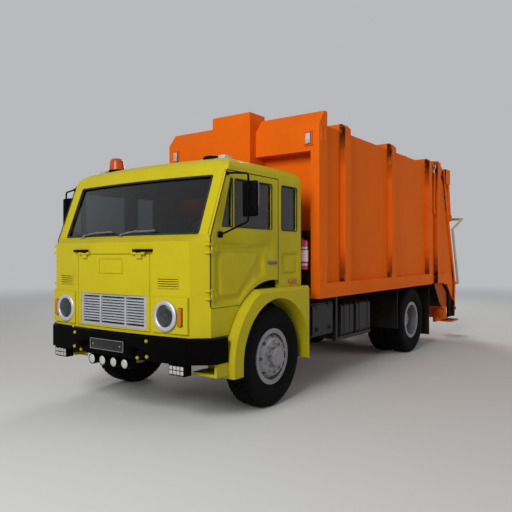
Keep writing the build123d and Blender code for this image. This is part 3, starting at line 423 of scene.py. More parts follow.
class Finishes:
    """Every finish on the truck."""

    # Sprayed enamel on pressed steel: a clear gloss, dulled by road film near the wheels.
    cab = Finish("cab_enamel_yellow", "cab_yellow", "#BFB01D", "#B5A413", dirt="#5E5218", roughness=0.4,
                 coat=0.03, specular=0.08, dirt_share=0.1, splash_top=1.1, grain=3, grain_depth=0.02)
    # Sprayed enamel on welded sheet, with refuse stains, and sooty grime with painted shade at the ends of
    # the ribs' faces.
    body = BodyPaint("body_enamel_orange", "body_orange", "#EA6A11", "#E05E0B", dirt="#241810", roughness=0.5,
                     specular=0.04, dirt_share=0.06, splash_top=1.25, grain=4, grain_depth=0.03)
    # The same enamel on the tailgate's cheeks, with painted black shadow on their lower front corners
    cheek = CheekPaint("cheek_enamel_orange", "body_orange", "#EA6A11", "#E05E0B", dirt="#241810",
                       roughness=0.5, specular=0.04, dirt_share=0.06, splash_top=0.7, grain=4,
                       grain_depth=0.03)
    # Black chassis lacquer with dust.
    chassis = Finish("chassis_lacquer_black", "chassis_black", "#121214", "#0B0B0C", dirt="#3A352F",
                     roughness=0.55, specular=0.25, dirt_share=0.35, splash_top=1.0, grain=5, grain_depth=0.1)
    # Satin black paint on the bumper.
    bumper = Finish("bumper_paint_black", "bumper_black", "#050506", "#080809", dirt="#1C1916", roughness=0.5,
                    specular=0.02, dirt_share=0.12, grain=4, grain_depth=0.04)
    # Painted steel tanks and lockers.
    tank = Finish("tank_paint_black", "tank_black", "#141417", "#0E0E10", dirt="#3A352F", roughness=0.5,
                  specular=0.3, dirt_share=0.3, splash_top=1.0, grain=5, grain_depth=0.06)
    # Cast iron, oily and rough.
    block = Finish("cast_iron_block", "cast_block", "#4A4A4A", "#383634", roughness=0.7, metallic=0.3,
                   dirt_share=0.5, grain=3, grain_depth=0.3)
    # Hot-rolled exhaust steel with rust.
    exhaust = Finish("exhaust_steel_rusty", "exhaust_steel", "#5A524A", "#4A3426", dirt="#5C3420",
                     roughness=0.7, metallic=0.6, dirt_share=0.6, grain=2, grain_depth=0.15)
    # Moulded black plastic in and on the cab.
    plastic = Finish("plastic_moulded_black", "trim_black", "#050506", "#040405", dirt="#22201D",
                     roughness=0.6, specular=0.04, dirt_share=0.12, grain=1.6, grain_depth=0.12)
    # Rubber flaps.
    flap = Finish("rubber_flap_black", "flap_rubber", "#131312", "#0D0D0D", dirt="#3A342D", roughness=0.85,
                  specular=0.2, dirt_share=0.4, splash_top=1.0, grain=4, grain_depth=0.3)
    # Vulcanised tyre rubber with road dust in its texture.
    tyre = Finish("tyre_rubber_black", "tyre_rubber", "#080808", "#060606", dirt="#1E1B18", roughness=0.85,
                  specular=0.1, wander=180, dirt_share=0.25, patch=90, grain=2.5, grain_depth=0.25)
    # Aluminium paint on the wheels, with brake dust.
    wheel = Finish("wheel_paint_silver", "wheel_silver", "#908E93", "#7B787C", dirt="#403B37", roughness=0.42,
                   metallic=0.35, wander=120, dirt_share=0.35, patch=70, grain=2, grain_depth=0.05)
    # Plain zinc-plated fasteners.
    zinc = Finish("zinc_plated_steel", "bright_metal", "#B5B4B2", "#96948F", roughness=0.35, metallic=0.9,
                  wander=40, dirt_share=0.3, patch=30, grain=1, grain_depth=0.02)
    # Grey-painted spring steel and weathered rubber.
    wiper = Finish("wiper_paint_grey", "bright_metal", "#6E7072", "#5A5C5E", roughness=0.6, metallic=0.1,
                   wander=80, dirt_share=0.3, patch=40, grain=2, grain_depth=0.02)
    # Chromium plate on rings and grille.
    chrome = Finish("chromium_plate", "lamp_chrome", "#D4D5DA", "#B9BABF", roughness=0.16, metallic=0.95,
                    wander=150, dirt_share=0.15, patch=60, grain=2, grain_depth=0.01)
    # Brushed beige paint on steel tube.
    arm = Finish("arm_paint_beige", "arm_beige", "#BDB79C", "#A9A388", dirt="#5A5040", roughness=0.5,
                 dirt_share=0.3, wander=200, grain=3, grain_depth=0.05)
    # Stoved red enamel on a drawn steel bottle.
    red = Finish("extinguisher_enamel_red", "extinguisher_red", "#C01846", "#A81038", roughness=0.25,
                 coat=0.4, dirt_share=0.08, wander=150, grain=3, grain_depth=0.02)
    # Black enamel on a pressed aluminium plate.
    plate = Finish("plate_enamel_black", "bumper_black", "#0B0B0C", "#101011", roughness=0.35, dirt_share=0.2,
                   wander=120, patch=60, grain=2, grain_depth=0.02)
    # Extruded window rubber.
    seal = Finish("window_rubber_black", "trim_black", "#0C0C0D", "#141414", roughness=0.7, dirt_share=0.2,
                  wander=200, patch=90, grain=2, grain_depth=0.08)
    # Printed paper label with nothing on it.
    label = Finish("label_paper_white", "extinguisher_red", "#E9D3DE", "#D9BFCC", roughness=0.5,
                   dirt_share=0.2, wander=120, patch=50, grain=2, grain_depth=0.02)
    # Silvered glass.
    mirror = Finish("mirror_glass_silvered", "lamp_chrome", "#C9CED2", "#BFC5C9", roughness=0.03,
                    metallic=1.0, dirt_share=0.06, wander=200, patch=80, grain=8, grain_depth=0.0)
    # Toughened glass, lightly tinted.
    pane = Glass("window_glass_tinted", "cab_window", "#868C8E", "#7A8284", dirt="#8C8A84", roughness=0.02,
                 dirt_share=0.06, patch=400)
    # Pressed clear glass with flutes.
    lens = Glass("lamp_glass_fluted", "lamp_chrome", "#A8ACAC", "#9A9E9E", dirt="#5C5A55", roughness=0.08,
                 dirt_share=0.1, flute=14)
    # Chromed pressing, dulled and hazy with age.
    bezel = Finish("bezel_chrome_dulled", "lamp_chrome", "#C6C8CC", "#AEB0B4", roughness=0.42, metallic=0.55,
                   wander=90, dirt_share=0.25, patch=50, grain=2, grain_depth=0.02)
    # Brushed and lacquered aluminium bars.
    grille = Finish("grille_aluminium_lacquered", "lamp_chrome", "#B4B7BE", "#A2A5AC", roughness=0.45,
                    metallic=0.35, wander=150, dirt_share=0.2, patch=60, grain=2, grain_depth=0.03)
    # The same enamel on the hopper, with painted black shade outside where it looks ahead or down, and
    # scraped steel inside.
    hopper = HopperPaint("hopper_enamel_worn_and_shaded", "body_orange", "#EA6A11", "#E05E0B", dirt="#241810",
                         roughness=0.55, specular=0.1, dirt_share=0.2, grain=5, grain_depth=0.2)
    # Tarnished reflector behind the glass.
    bowl = Finish("reflector_tarnished", "lamp_chrome", "#8A8F8D", "#6E7371", roughness=0.4, metallic=0.6,
                  wander=70, dirt_share=0.3, patch=40, grain=2, grain_depth=0.02)
    # Opal white lens plastic.
    white = Glass("lens_plastic_white", "lamp_chrome", "#CFCDC8", "#B9B6B0", dirt="#7C7A74", roughness=0.25,
                  dirt_share=0.15, patch=40, through=0.25, flute=10)
    # Moulded lens plastic, amber, orange and red.
    amber = Glass("lens_plastic_amber", "amber_lens", "#D07A18", "#BE6810", dirt="#6B3A1A", roughness=0.25,
                  specular=0.3, dirt_share=0.12, patch=60, through=0.2, flute=12)
    beacon = Glass("beacon_plastic_orange", "amber_lens", "#CC5216", "#B84410", dirt="#6B2A14",
                   roughness=0.25, specular=0.3, dirt_share=0.12, patch=60, through=0.2)
    lens_red = Glass("lens_plastic_red", "red_lens", "#A8100C", "#8E0A08", dirt="#3B1A14", roughness=0.2,
                     dirt_share=0.15, patch=60, through=0.2, flute=12)
    # Grey woven seat cloth.
    cloth = Cloth("seat_cloth_grey", "seat_cloth", "#6C6B72", "#5A5960", dirt="#45434A", roughness=0.9,
                  wander=200, dirt_share=0.25)


class Modeller:
    """One piece under way: a mesh in millimetres that becomes an object on a body."""

    def __init__(self, name: str, body: Body, finish: Finish) -> None:
        """Starts an empty piece.

        Args:
            name: the piece's name.
            body: the body that it moves with.
            finish: its surface.
        """
        self.name = name
        self.body = body
        self.finish = finish
        self.bm = bmesh.new()

    def block(self, low: Point, high: Point, edge: float = 0.0, rounds: int = 2) -> list:
        """A block between two corners with rounded edges.

        Args:
            low: one corner.
            high: the opposite corner.
            edge: the rounding's width.
            rounds: the rounding's segments.

        Returns:
            The block's vertices.
        """
        a = Vector(low)
        b = Vector(high)
        size = Matrix.Diagonal([*(abs(v) for v in b - a), 1])
        made = bmesh.ops.create_cube(self.bm, size=1, matrix=Matrix.Translation((a + b) / 2) @ size)
        return self.soften(made["verts"], edge, rounds)

    def soften(self, verts: list, edge: float, rounds: int = 2) -> list:
        """Rounds all the edges of a shape.

        Args:
            verts: the shape's vertices.
            edge: the rounding's width.
            rounds: the rounding's segments.

        Returns:
            The shape's vertices afterwards.
        """
        if not edge:
            return verts
        edges = list({e for v in verts for e in v.link_edges})
        made = bmesh.ops.bevel(self.bm, geom=edges, offset=edge, segments=rounds, profile=0.5, affect="EDGES",
                               material=-1, clamp_overlap=True)
        return list({*made["verts"], *(v for v in verts if v.is_valid)})

    def rod(self, start: Point, end: Point, radius: float, tip: float | None = None, sides: int = 20) -> list:
        """A round bar or cone between two points.

        Args:
            start: the middle of the first end.
            end: the middle of the other end.
            radius: the first end's radius.
            tip: the other end's radius, the same if left out.
            sides: the number of flats.

        Returns:
            The bar's vertices.
        """
        a = Vector(start)
        b = Vector(end)
        turn = (b - a).to_track_quat("Z", "Y").to_matrix().to_4x4()
        made = bmesh.ops.create_cone(
            self.bm, cap_ends=True, segments=sides, radius1=radius, radius2=radius if tip is None else tip,
            depth=(b - a).length, matrix=Matrix.Translation((a + b) / 2) @ turn)
        return made["verts"]

    def turned(self, profile: list[Pair], centre: Point, axis: Vector, steps: int = 48) -> list:
        """A shape turned about an axis from (radius, distance along the axis) points.

        Args:
            profile: the points in order; a closed ring of them for a hollow shape.
            centre: a point on the axis.
            axis: the axis.
            steps: the number of steps round.

        Returns:
            The shape's vertices.
        """
        aside = Z_AXIS if abs(axis.dot(Z_AXIS)) < 0.5 else X_AXIS
        out = (aside - axis * aside.dot(axis)).normalized()
        origin = Vector(centre)
        points = [self.bm.verts.new(origin + out * r + axis * d) for r, d in profile]
        edges = [self.bm.edges.new(pair) for pair in zip(points, points[1:])]
        if profile[0][0] > 0 and profile[-1][0] > 0:
            edges.append(self.bm.edges.new((points[-1], points[0])))
        before = set(self.bm.verts) - set(points)
        bmesh.ops.spin(self.bm, geom=points + edges, cent=origin, axis=axis, angle=FULL_TURN, steps=steps,
                       use_merge=True)
        made = [v for v in self.bm.verts if v not in before]
        bmesh.ops.remove_doubles(self.bm, verts=made, dist=0.01)
        made = [v for v in self.bm.verts if v not in before]
        faces = list({f for v in made for f in v.link_faces})
        bmesh.ops.recalc_face_normals(self.bm, faces=faces)
        return made

    def plate(self, points: list[Point], depth: Vector, edge: float = 0.0) -> list:
        """A flat outline drawn out along a vector.

        Args:
            points: the outline in order.
            depth: the way and distance that it is drawn out.
            edge: the rounding of its edges.

        Returns:
            The plate's vertices.
        """
        verts = [self.bm.verts.new(p) for p in points]
        face = self.bm.faces.new(verts)
        grown = bmesh.ops.extrude_face_region(self.bm, geom=[face], use_keep_orig=True)
        moved = [v for v in grown["geom"] if isinstance(v, bmesh.types.BMVert)]
        bmesh.ops.translate(self.bm, verts=moved, vec=depth)
        shape = verts + moved
        faces = list({f for v in shape for f in v.link_faces})
        bmesh.ops.recalc_face_normals(self.bm, faces=faces)
        return self.soften(shape, edge)

    def tube(self, points: list[Point], radius: float, closed: bool = False, smooth: bool = False) -> None:
        """A round bead or pipe along points.

        Args:
            points: the line that it follows.
            radius: its radius.
            closed: whether the line closes on itself.
            smooth: whether it bends smoothly near the points instead of through them.
        """
        line = bpy.data.curves.new("line", "CURVE")
        line.dimensions = "3D"
        line.bevel_depth = radius
        line.bevel_resolution = 3
        line.use_fill_caps = not closed
        spline = line.splines.new("NURBS" if smooth else "POLY")
        spline.points.add(len(points) - 1)
        for place, p in zip(spline.points, points):
            place.co = (*p, 1)
        spline.use_cyclic_u = closed
        if smooth:
            spline.order_u = 3
            spline.use_endpoint_u = not closed
            spline.resolution_u = 8
        holder = bpy.data.objects.new("line", line)
        mesh = bpy.data.meshes.new_from_object(holder)
        self.bm.from_mesh(mesh)
        bpy.data.objects.remove(holder)
        bpy.data.curves.remove(line)
        bpy.data.meshes.remove(mesh)

    def around(self, verts: list, centre: Point, axis: Vector, count: int) -> None:
        """Repeats a shape evenly round an axis.

        Args:
            verts: the first shape's vertices.
            centre: a point on the axis.
            axis: the axis.
            count: how many there are in all.
        """
        faces = list({f for v in verts for f in v.link_faces})
        for i in range(1, count):
            copy = bmesh.ops.duplicate(self.bm, geom=faces)["geom"]
            moved = [v for v in copy if isinstance(v, bmesh.types.BMVert)]
            bmesh.ops.rotate(self.bm, cent=centre, matrix=Matrix.Rotation(FULL_TURN * i / count, 3, axis),
                             verts=moved)

    def bolt(self, place: Point, way: Vector, size: float) -> list:
        """A washer and hexagon head standing on a face.

        Args:
            place: the middle of the seat.
            way: the direction out of the face.
            size: half the head's width over its corners.

        Returns:
            The bolt's vertices.
        """
        seat = Vector(place)
        made = self.rod(seat - 2 * way, seat + 0.2 * size * way, 1.2 * size)
        made += self.rod(seat + 0.2 * size * way, seat + 0.75 * size * way, size, sides=6)
        made += self.rod(seat + 0.75 * size * way, seat + 0.95 * size * way, size, 0.78 * size, sides=6)
        return made

    def _other_side(self, faces: list) -> None:
        """Turns faces into their mirror image on the truck's other side."""
        bmesh.ops.scale(self.bm, verts=list({v for f in faces for v in f.verts}), vec=(1, -1, 1))
        bmesh.ops.reverse_faces(self.bm, faces=faces)

    def done(self, *stands_for: str, side: Side = Side.LEFT, both: bool = False,
             sharp: float = 35.0) -> bpy.types.Object:
        """Makes the object, in metres in the row frame, and sets it on its body.

        Args:
            stands_for: the CAD nodes that it replaces.
            side: the right if a shape drawn for the left is to be its mirror image.
            both: whether the same shape is added on the truck's other side.
            sharp: edges that turn by more than this many degrees stay crisp.

        Returns:
            The finished piece.
        """
        if side is Side.RIGHT:
            self._other_side(list(self.bm.faces))
        if both:
            copy = bmesh.ops.duplicate(self.bm, geom=list(self.bm.faces))["geom"]
            self._other_side([f for f in copy if isinstance(f, bmesh.types.BMFace)])
        bmesh.ops.transform(self.bm, matrix=TO_ROW, verts=self.bm.verts)
        limit = math.radians(sharp)
        for face in self.bm.faces:
            face.smooth = True
        for edge in self.bm.edges:
            edge.smooth = len(edge.link_faces) != 2 or edge.calc_face_angle(0) < limit
        mesh = bpy.data.meshes.new(self.name)
        self.bm.to_mesh(mesh)
        self.bm.free()
        mesh.materials.append(self.finish.material())
        piece = bpy.data.objects.new(self.name, mesh)
        bpy.context.scene.collection.objects.link(piece)
        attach(piece, self.body.value)
        if stands_for:
            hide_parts(*stands_for)
        LOG.info("%s: %d faces on %s", self.name, len(mesh.polygons), self.body.value)
        return piece


@dataclass
class Tyre:
    """One body's tyres, with rounded walls and a block tread."""

    name: str
    node: str
    body: Body
    x: float
    ys: tuple[float, ...]
    hub_z: float = 542.0
    base_r: float = 527.0
    top_r: float = 541.5
    pitches: int = 54
    rows: tuple[float, ...] = (-84, -42, 0, 42, 84)
    row_half: float = 18.0

    def build(self) -> bpy.types.Object:
        """Spins the casings and sets the tread blocks round them.

        Returns:
            The tyre piece.
        """
        piece = Modeller(self.name, self.body, Finishes.tyre)
        half = [(264, 106), (300, 112), (309, 118), (318, 117), (350, 130), (395, 142), (432, 146.5),
                (470, 144.5), (498, 138), (512, 131), (522, 121), (self.base_r, 108)]
        for y in self.ys:
            centre = (self.x, y, self.hub_z)
            ring = half + [(r, -d) for r, d in reversed(half)]
            piece.turned(ring, centre, Y_AXIS, steps=72)
            for i, row in enumerate(self.rows):
                self._row(piece, centre, row, i)
        return piece.done(self.node)

    def _row(self, piece: Modeller, centre: Point, row: float, index: int) -> None:
        """Sets one row of tread blocks round a casing.

        Args:
            piece: the tyre under way.
            centre: the wheel's middle.
            row: the row's distance from the middle line.
            index: the row's number, which sets its turn.
        """
        x, y, z = centre
        edge = abs(row) == max(self.rows)
        top = self.top_r - (3 if edge else 0)
        length = FULL_TURN * self.top_r / self.pitches * (0.72 if edge else 0.84)
        half = self.row_half + (6 if edge else 0)
        shape = piece.block((x - length / 2, y + row - half, z + self.base_r - 8),
                            (x + length / 2, y + row + half, z + top), 2.5, 1)
        lean = math.radians((0, 12, -12, 12, 0)[index])
        bmesh.ops.rotate(piece.bm, verts=shape, cent=(x, y + row, z), matrix=Matrix.Rotation(lean, 3, Z_AXIS))
        start = FULL_TURN / self.pitches * (0.5 if index % 2 else 0)
        bmesh.ops.rotate(piece.bm, verts=shape, cent=centre, matrix=Matrix.Rotation(start, 3, Y_AXIS))
        piece.around(shape, centre, Y_AXIS, self.pitches)


@dataclass
class WheelFittings:
    """Nuts and studs of one wheel, and the bolts round its hub."""

    name: str
    body: Body
    x: float
    face: float
    side: Side
    hub_z: float = 542.0
    circle: float = 156.0
    count: int = 10
    hub_face: float = 1242.0
    hub_circle: float = 68.0

    def build(self) -> bpy.types.Object:
        """Sets the nuts on their circle.

        Returns:
            The ring of nuts.
        """
        piece = Modeller(self.name, self.body, Finishes.zinc)
        s = self.side.value
        y = self.face
        z = self.hub_z + self.circle
        made = piece.rod((self.x, s * y, z), (self.x, s * (y + 5), z), 23, sides=20)
        made += piece.rod((self.x, s * (y + 5), z), (self.x, s * (y + 22), z), 18, sides=6)
        made += piece.rod((self.x, s * (y + 22), z), (self.x, s * (y + 27), z), 18, 12, sides=6)
        made += piece.rod((self.x, s * (y + 26), z), (self.x, s * (y + 36), z), 9, 7.5, sides=12)
        piece.around(made, (self.x, 0, self.hub_z), Y_AXIS, self.count)
        cap = piece.bolt((self.x, s * self.hub_face, self.hub_z + self.hub_circle), s * Y_AXIS, 9)
        piece.around(cap, (self.x, 0, self.hub_z), Y_AXIS, 8)
        return piece.done()


@dataclass
class Headlamp:
    """One round headlamp: bright bezel, dark bowl, bulb shield and domed glass."""

    side: Side
    y: float = 760.0
    z: float = 1060.0
    radius: float = 103.0
    bezel: float = 146.0
    face: float = 1240.0

    def build(self) -> None:
        """Makes the four pieces from the outside in."""
        centre = (0, self.side.value * self.y, self.z)
        word = self.side.word
        r = self.radius
        x = self.face
        bezel = Modeller(f"headlamp_bezel_{word}", Body.TRUCK, Finishes.bezel)
        bezel.turned([(r + 1, x - 16), (r + 3, x - 4), (r + 8, x + 1), (r + 20, x + 3.5), (r + 34, x + 2),
                      (self.bezel, x - 3), (self.bezel + 3.5, x - 10), (self.bezel + 3.5, x - 16),
                      (self.bezel - 8, x - 8), (r + 10, x - 6)], centre, X_AXIS, 64)
        bezel.done()
        bowl = Modeller(f"headlamp_bowl_{word}", Body.TRUCK, Finishes.bowl)
        bowl.turned([(0, x - 24.5), (0.4 * r, x - 23.5), (0.8 * r, x - 20), (r, x - 14), (r, x - 17),
                     (0, x - 25.5)], centre, X_AXIS)
        bowl.done()
        shield = Modeller(f"headlamp_shield_{word}", Body.TRUCK, Finishes.chrome)
        shield.turned([(0, x - 25), (19, x - 25), (19, x - 12), (12, x - 8), (0, x - 7)], centre, X_AXIS, 24)
        shield.done()
        glass = Modeller(f"headlamp_lens_{word}", Body.TRUCK, Finishes.lens)
        glass.turned([(0, x + 8), (0.35 * r, x + 6.5), (0.7 * r, x + 2), (0.93 * r, x - 5), (r, x - 9),
                      (r, x - 12), (0.9 * r, x - 8), (0.6 * r, x - 0.5), (0, x + 4)], centre, X_AXIS)
        glass.done()


class Lamps:
    """All the lamps' lenses and bezels."""

    BUMPER_Y = (-250, -85, 85, 250)
    BUMPER_Z = 560
    FOG_CORNER = (798, 519)
    FOG_PITCH = (47, 43)
    FOG_CELL = (38, 36)
    FOG_DEPTH = (1200.2, 1211)
    FOG_FRAME = ((1137, 786, 508), (1203.5, 994, 611))
    INDICATOR_LENS = ((1206, 916, 972), (1230, 964, 1143))
    INDICATOR_BASE = ((1186, 914, 970), (1208, 966, 1145))
    SIDE_MARKER = ((-450, 1171, 1312), (-294, 1185, 1365))
    MARKER_LENS = ((-846, 1070, 2986), (-838, 1132, 3106))
    MARKER_DEPTH = (-869.5, -856)
    MARKER = ((1052, 2964), (1150, 2964), (1150, 3128), (1052, 3128))
    MARKER_BORDER = 6

    def build(self) -> None:
        """Makes headlamps, bumper lamps, fog lamps and markers."""
        for side in Side:
            Headlamp(side).build()
        self._bumper_lamps()
        self._fog_lamps()
        self._body_markers()
        self._indicators()

    def _bumper_lamps(self) -> None:
        """Four round lenses in black rims below the bumper."""
        lenses = Modeller("bumper_lamp_lenses", Body.TRUCK, Finishes.white)
        rims = Modeller("bumper_lamp_rims", Body.TRUCK, Finishes.plastic)
        for y in self.BUMPER_Y:
            centre = (0, y, self.BUMPER_Z)
            lenses.turned([(0, 1290), (22, 1288.5), (38, 1284), (46, 1277), (46, 1276.2), (0, 1276.2)],
                          centre, X_AXIS, 32)
            rims.turned([(46.5, 1276.3), (46.5, 1281), (52, 1280), (54, 1272), (54, 1205), (51.4, 1205),
                         (51.4, 1276.3)], centre, X_AXIS, 32)
        lenses.done()
        rims.done()

    def _fog_lamps(self) -> None:
        """Square lamps of four by two cells under the bumper's ends."""
        cells = Modeller("fog_lamp_cells", Body.TRUCK, Finishes.white)
        frames = Modeller("fog_lamp_frames", Body.TRUCK, Finishes.plastic)
        back, face = self.FOG_DEPTH
        for column in range(4):
            for row in range(2):
                y = self.FOG_CORNER[0] + self.FOG_PITCH[0] * column
                z = self.FOG_CORNER[1] + self.FOG_PITCH[1] * row
                cells.block((back, y, z), (face, y + self.FOG_CELL[0], z + self.FOG_CELL[1]), 9, 3)
        frames.block(*self.FOG_FRAME, 4)
        cells.done(both=True)
        frames.done(both=True)

    def _indicators(self) -> None:
        """Front indicators on black bases, and the side markers behind the doors."""
        lenses = Modeller("indicator_lenses", Body.TRUCK, Finishes.amber)
        bases = Modeller("indicator_bases", Body.TRUCK, Finishes.plastic)
        lenses.block(*self.INDICATOR_LENS, 9, 3)
        bases.block(*self.INDICATOR_BASE, 3)
        lenses.done("amber_lamps", both=True)
        bases.done("amber_lamps", both=True)
        markers = Modeller("side_marker_lenses", Body.TRUCK, Finishes.amber)
        markers.block(*self.SIDE_MARKER, 6, 3)
        markers.done("amber_lamps", both=True)

    def _body_markers(self) -> None:
        """White lenses in orange surrounds at the top of the load body's front."""
        lenses = Modeller("body_marker_lenses", Body.TRUCK, Finishes.white)
        frames = Modeller("body_marker_frames", Body.TRUCK, Finishes.body)
        lenses.block(*self.MARKER_LENS, 4)
        wide = self.MARKER_BORDER
        back, face = self.MARKER_DEPTH
        for (y0, z0), (y1, z1) in zip(self.MARKER, self.MARKER[1:] + self.MARKER[:1]):
            frames.block((back, min(y0, y1) - wide, min(z0, z1) - wide),
                         (face, max(y0, y1) + wide, max(z0, z1) + wide), 3)
        lenses.done(both=True)
        frames.done(both=True)


@dataclass
class Pad:
    """A padded cushion: a slack block of cloth, blown up, then drawn in along its sewn channels."""

    name: str
    low: Point
    high: Point
    lean: float
    face: Vector
    along: Vector
    channels: tuple[float, ...]
    voxel: float = 0.009
    swell: float = 0.024
    groove: float = 0.007
    stitch: float = 13.0
    edge: float = 30.0
    pressure: float = 4.0
    frames: int = 20

    def build(self, side: Side) -> bpy.types.Object:
        """Makes the pad on the left, or its mirror image on the right.

        Args:
            side: the side that it is for.

        Returns:
            The padded piece.
        """
        pad = Modeller(self.name, Body.TRUCK, Finishes.cloth)
        shape = pad.block(self.low, self.high, self.edge, 3)
        foot = (self.high[0], (self.low[1] + self.high[1]) / 2, self.low[2])
        tilt = Matrix.Rotation(math.radians(self.lean), 3, Y_AXIS)
        bmesh.ops.rotate(pad.bm, verts=shape, cent=foot, matrix=tilt)
        piece = pad.done(side=side)
        self._blow_up(piece)
        self._sew(piece)
        crown = piece.modifiers.new("crown", "SUBSURF")
        crown.levels = 1
        crown.render_levels = 1
        return piece

    def _blow_up(self, piece: bpy.types.Object) -> None:
        """Remeshes the pad and lets pressure swell its cloth.

        Args:
            piece: the pad, whose mesh is replaced.
        """
        scene = bpy.context.scene
        cloth_piece = bpy.data.objects.new("cloth", piece.data.copy())
        scene.collection.objects.link(cloth_piece)
        remesh = cloth_piece.modifiers.new("voxels", "REMESH")
        remesh.mode = "VOXEL"
        remesh.voxel_size = self.voxel
        graph = bpy.context.evaluated_depsgraph_get()
        even = bpy.data.meshes.new_from_object(cloth_piece.evaluated_get(graph))
        cloth_piece.modifiers.clear()
        cloth_piece.data = even
        cloth = cloth_piece.modifiers.new("cloth", "CLOTH")
        cloth.settings.use_pressure = True
        cloth.settings.uniform_pressure_force = self.pressure
        cloth.settings.quality = 4
        cloth.settings.effector_weights.gravity = 0.0
        cloth.point_cache.frame_end = self.frames
        for step in range(1, self.frames + 1):
            scene.frame_set(step)
        graph = bpy.context.evaluated_depsgraph_get()
        blown = bpy.data.meshes.new_from_object(cloth_piece.evaluated_get(graph))
        for vert, start in zip(blown.vertices, even.vertices):
            move = vert.co - start.co
            if move.length > self.swell:
                vert.co = start.co + move * (self.swell / move.length)
        for polygon in blown.polygons:
            polygon.use_smooth = True
        blown.materials.clear()
        blown.materials.append(Finishes.cloth.material())
        piece.data = blown
        bpy.data.objects.remove(cloth_piece)
        scene.frame_set(1)

    def _sew(self, piece: bpy.types.Object) -> None:
        """Draws the cloth in along the sewn channels of the pad's face.

        Args:
            piece: the pad.
        """
        for vert in piece.data.vertices:
            if vert.normal.dot(self.face) < 0.4:
                continue
            place = TO_ROW.inverted() @ vert.co
            near = min(abs(place.dot(self.along) - line) for line in self.channels)
            vert.co -= self.face * self.groove * math.exp(-(near / self.stitch) ** 2)


@dataclass
class Seat:
    """One cab seat: a steel box, a cushion and a backrest."""

    side: Side
    y: float = 729.7
    half: float = 250.0

    def build(self) -> None:
        """Makes the box and the padded pieces."""
        word = self.side.word
        low = self.y - self.half
        high = self.y + self.half
        box = Modeller(f"seat_box_{word}", Body.TRUCK, Finishes.plastic)
        box.block((-480, low + 20, 1311), (-60, high - 20, 1556), 12)
        box.done("seats", side=self.side)
        Pad(f"seat_cushion_{word}", (-482, low + 20, 1572), (-20, high - 20, 1662), 0, Z_AXIS, X_AXIS,
            (-110, -250, -390)).build(self.side)
        Pad(f"seat_back_{word}", (-508, low + 28, 1654), (-424, high - 28, 2206), -5, X_AXIS, Z_AXIS,
            (1790, 1930, 2070)).build(self.side)


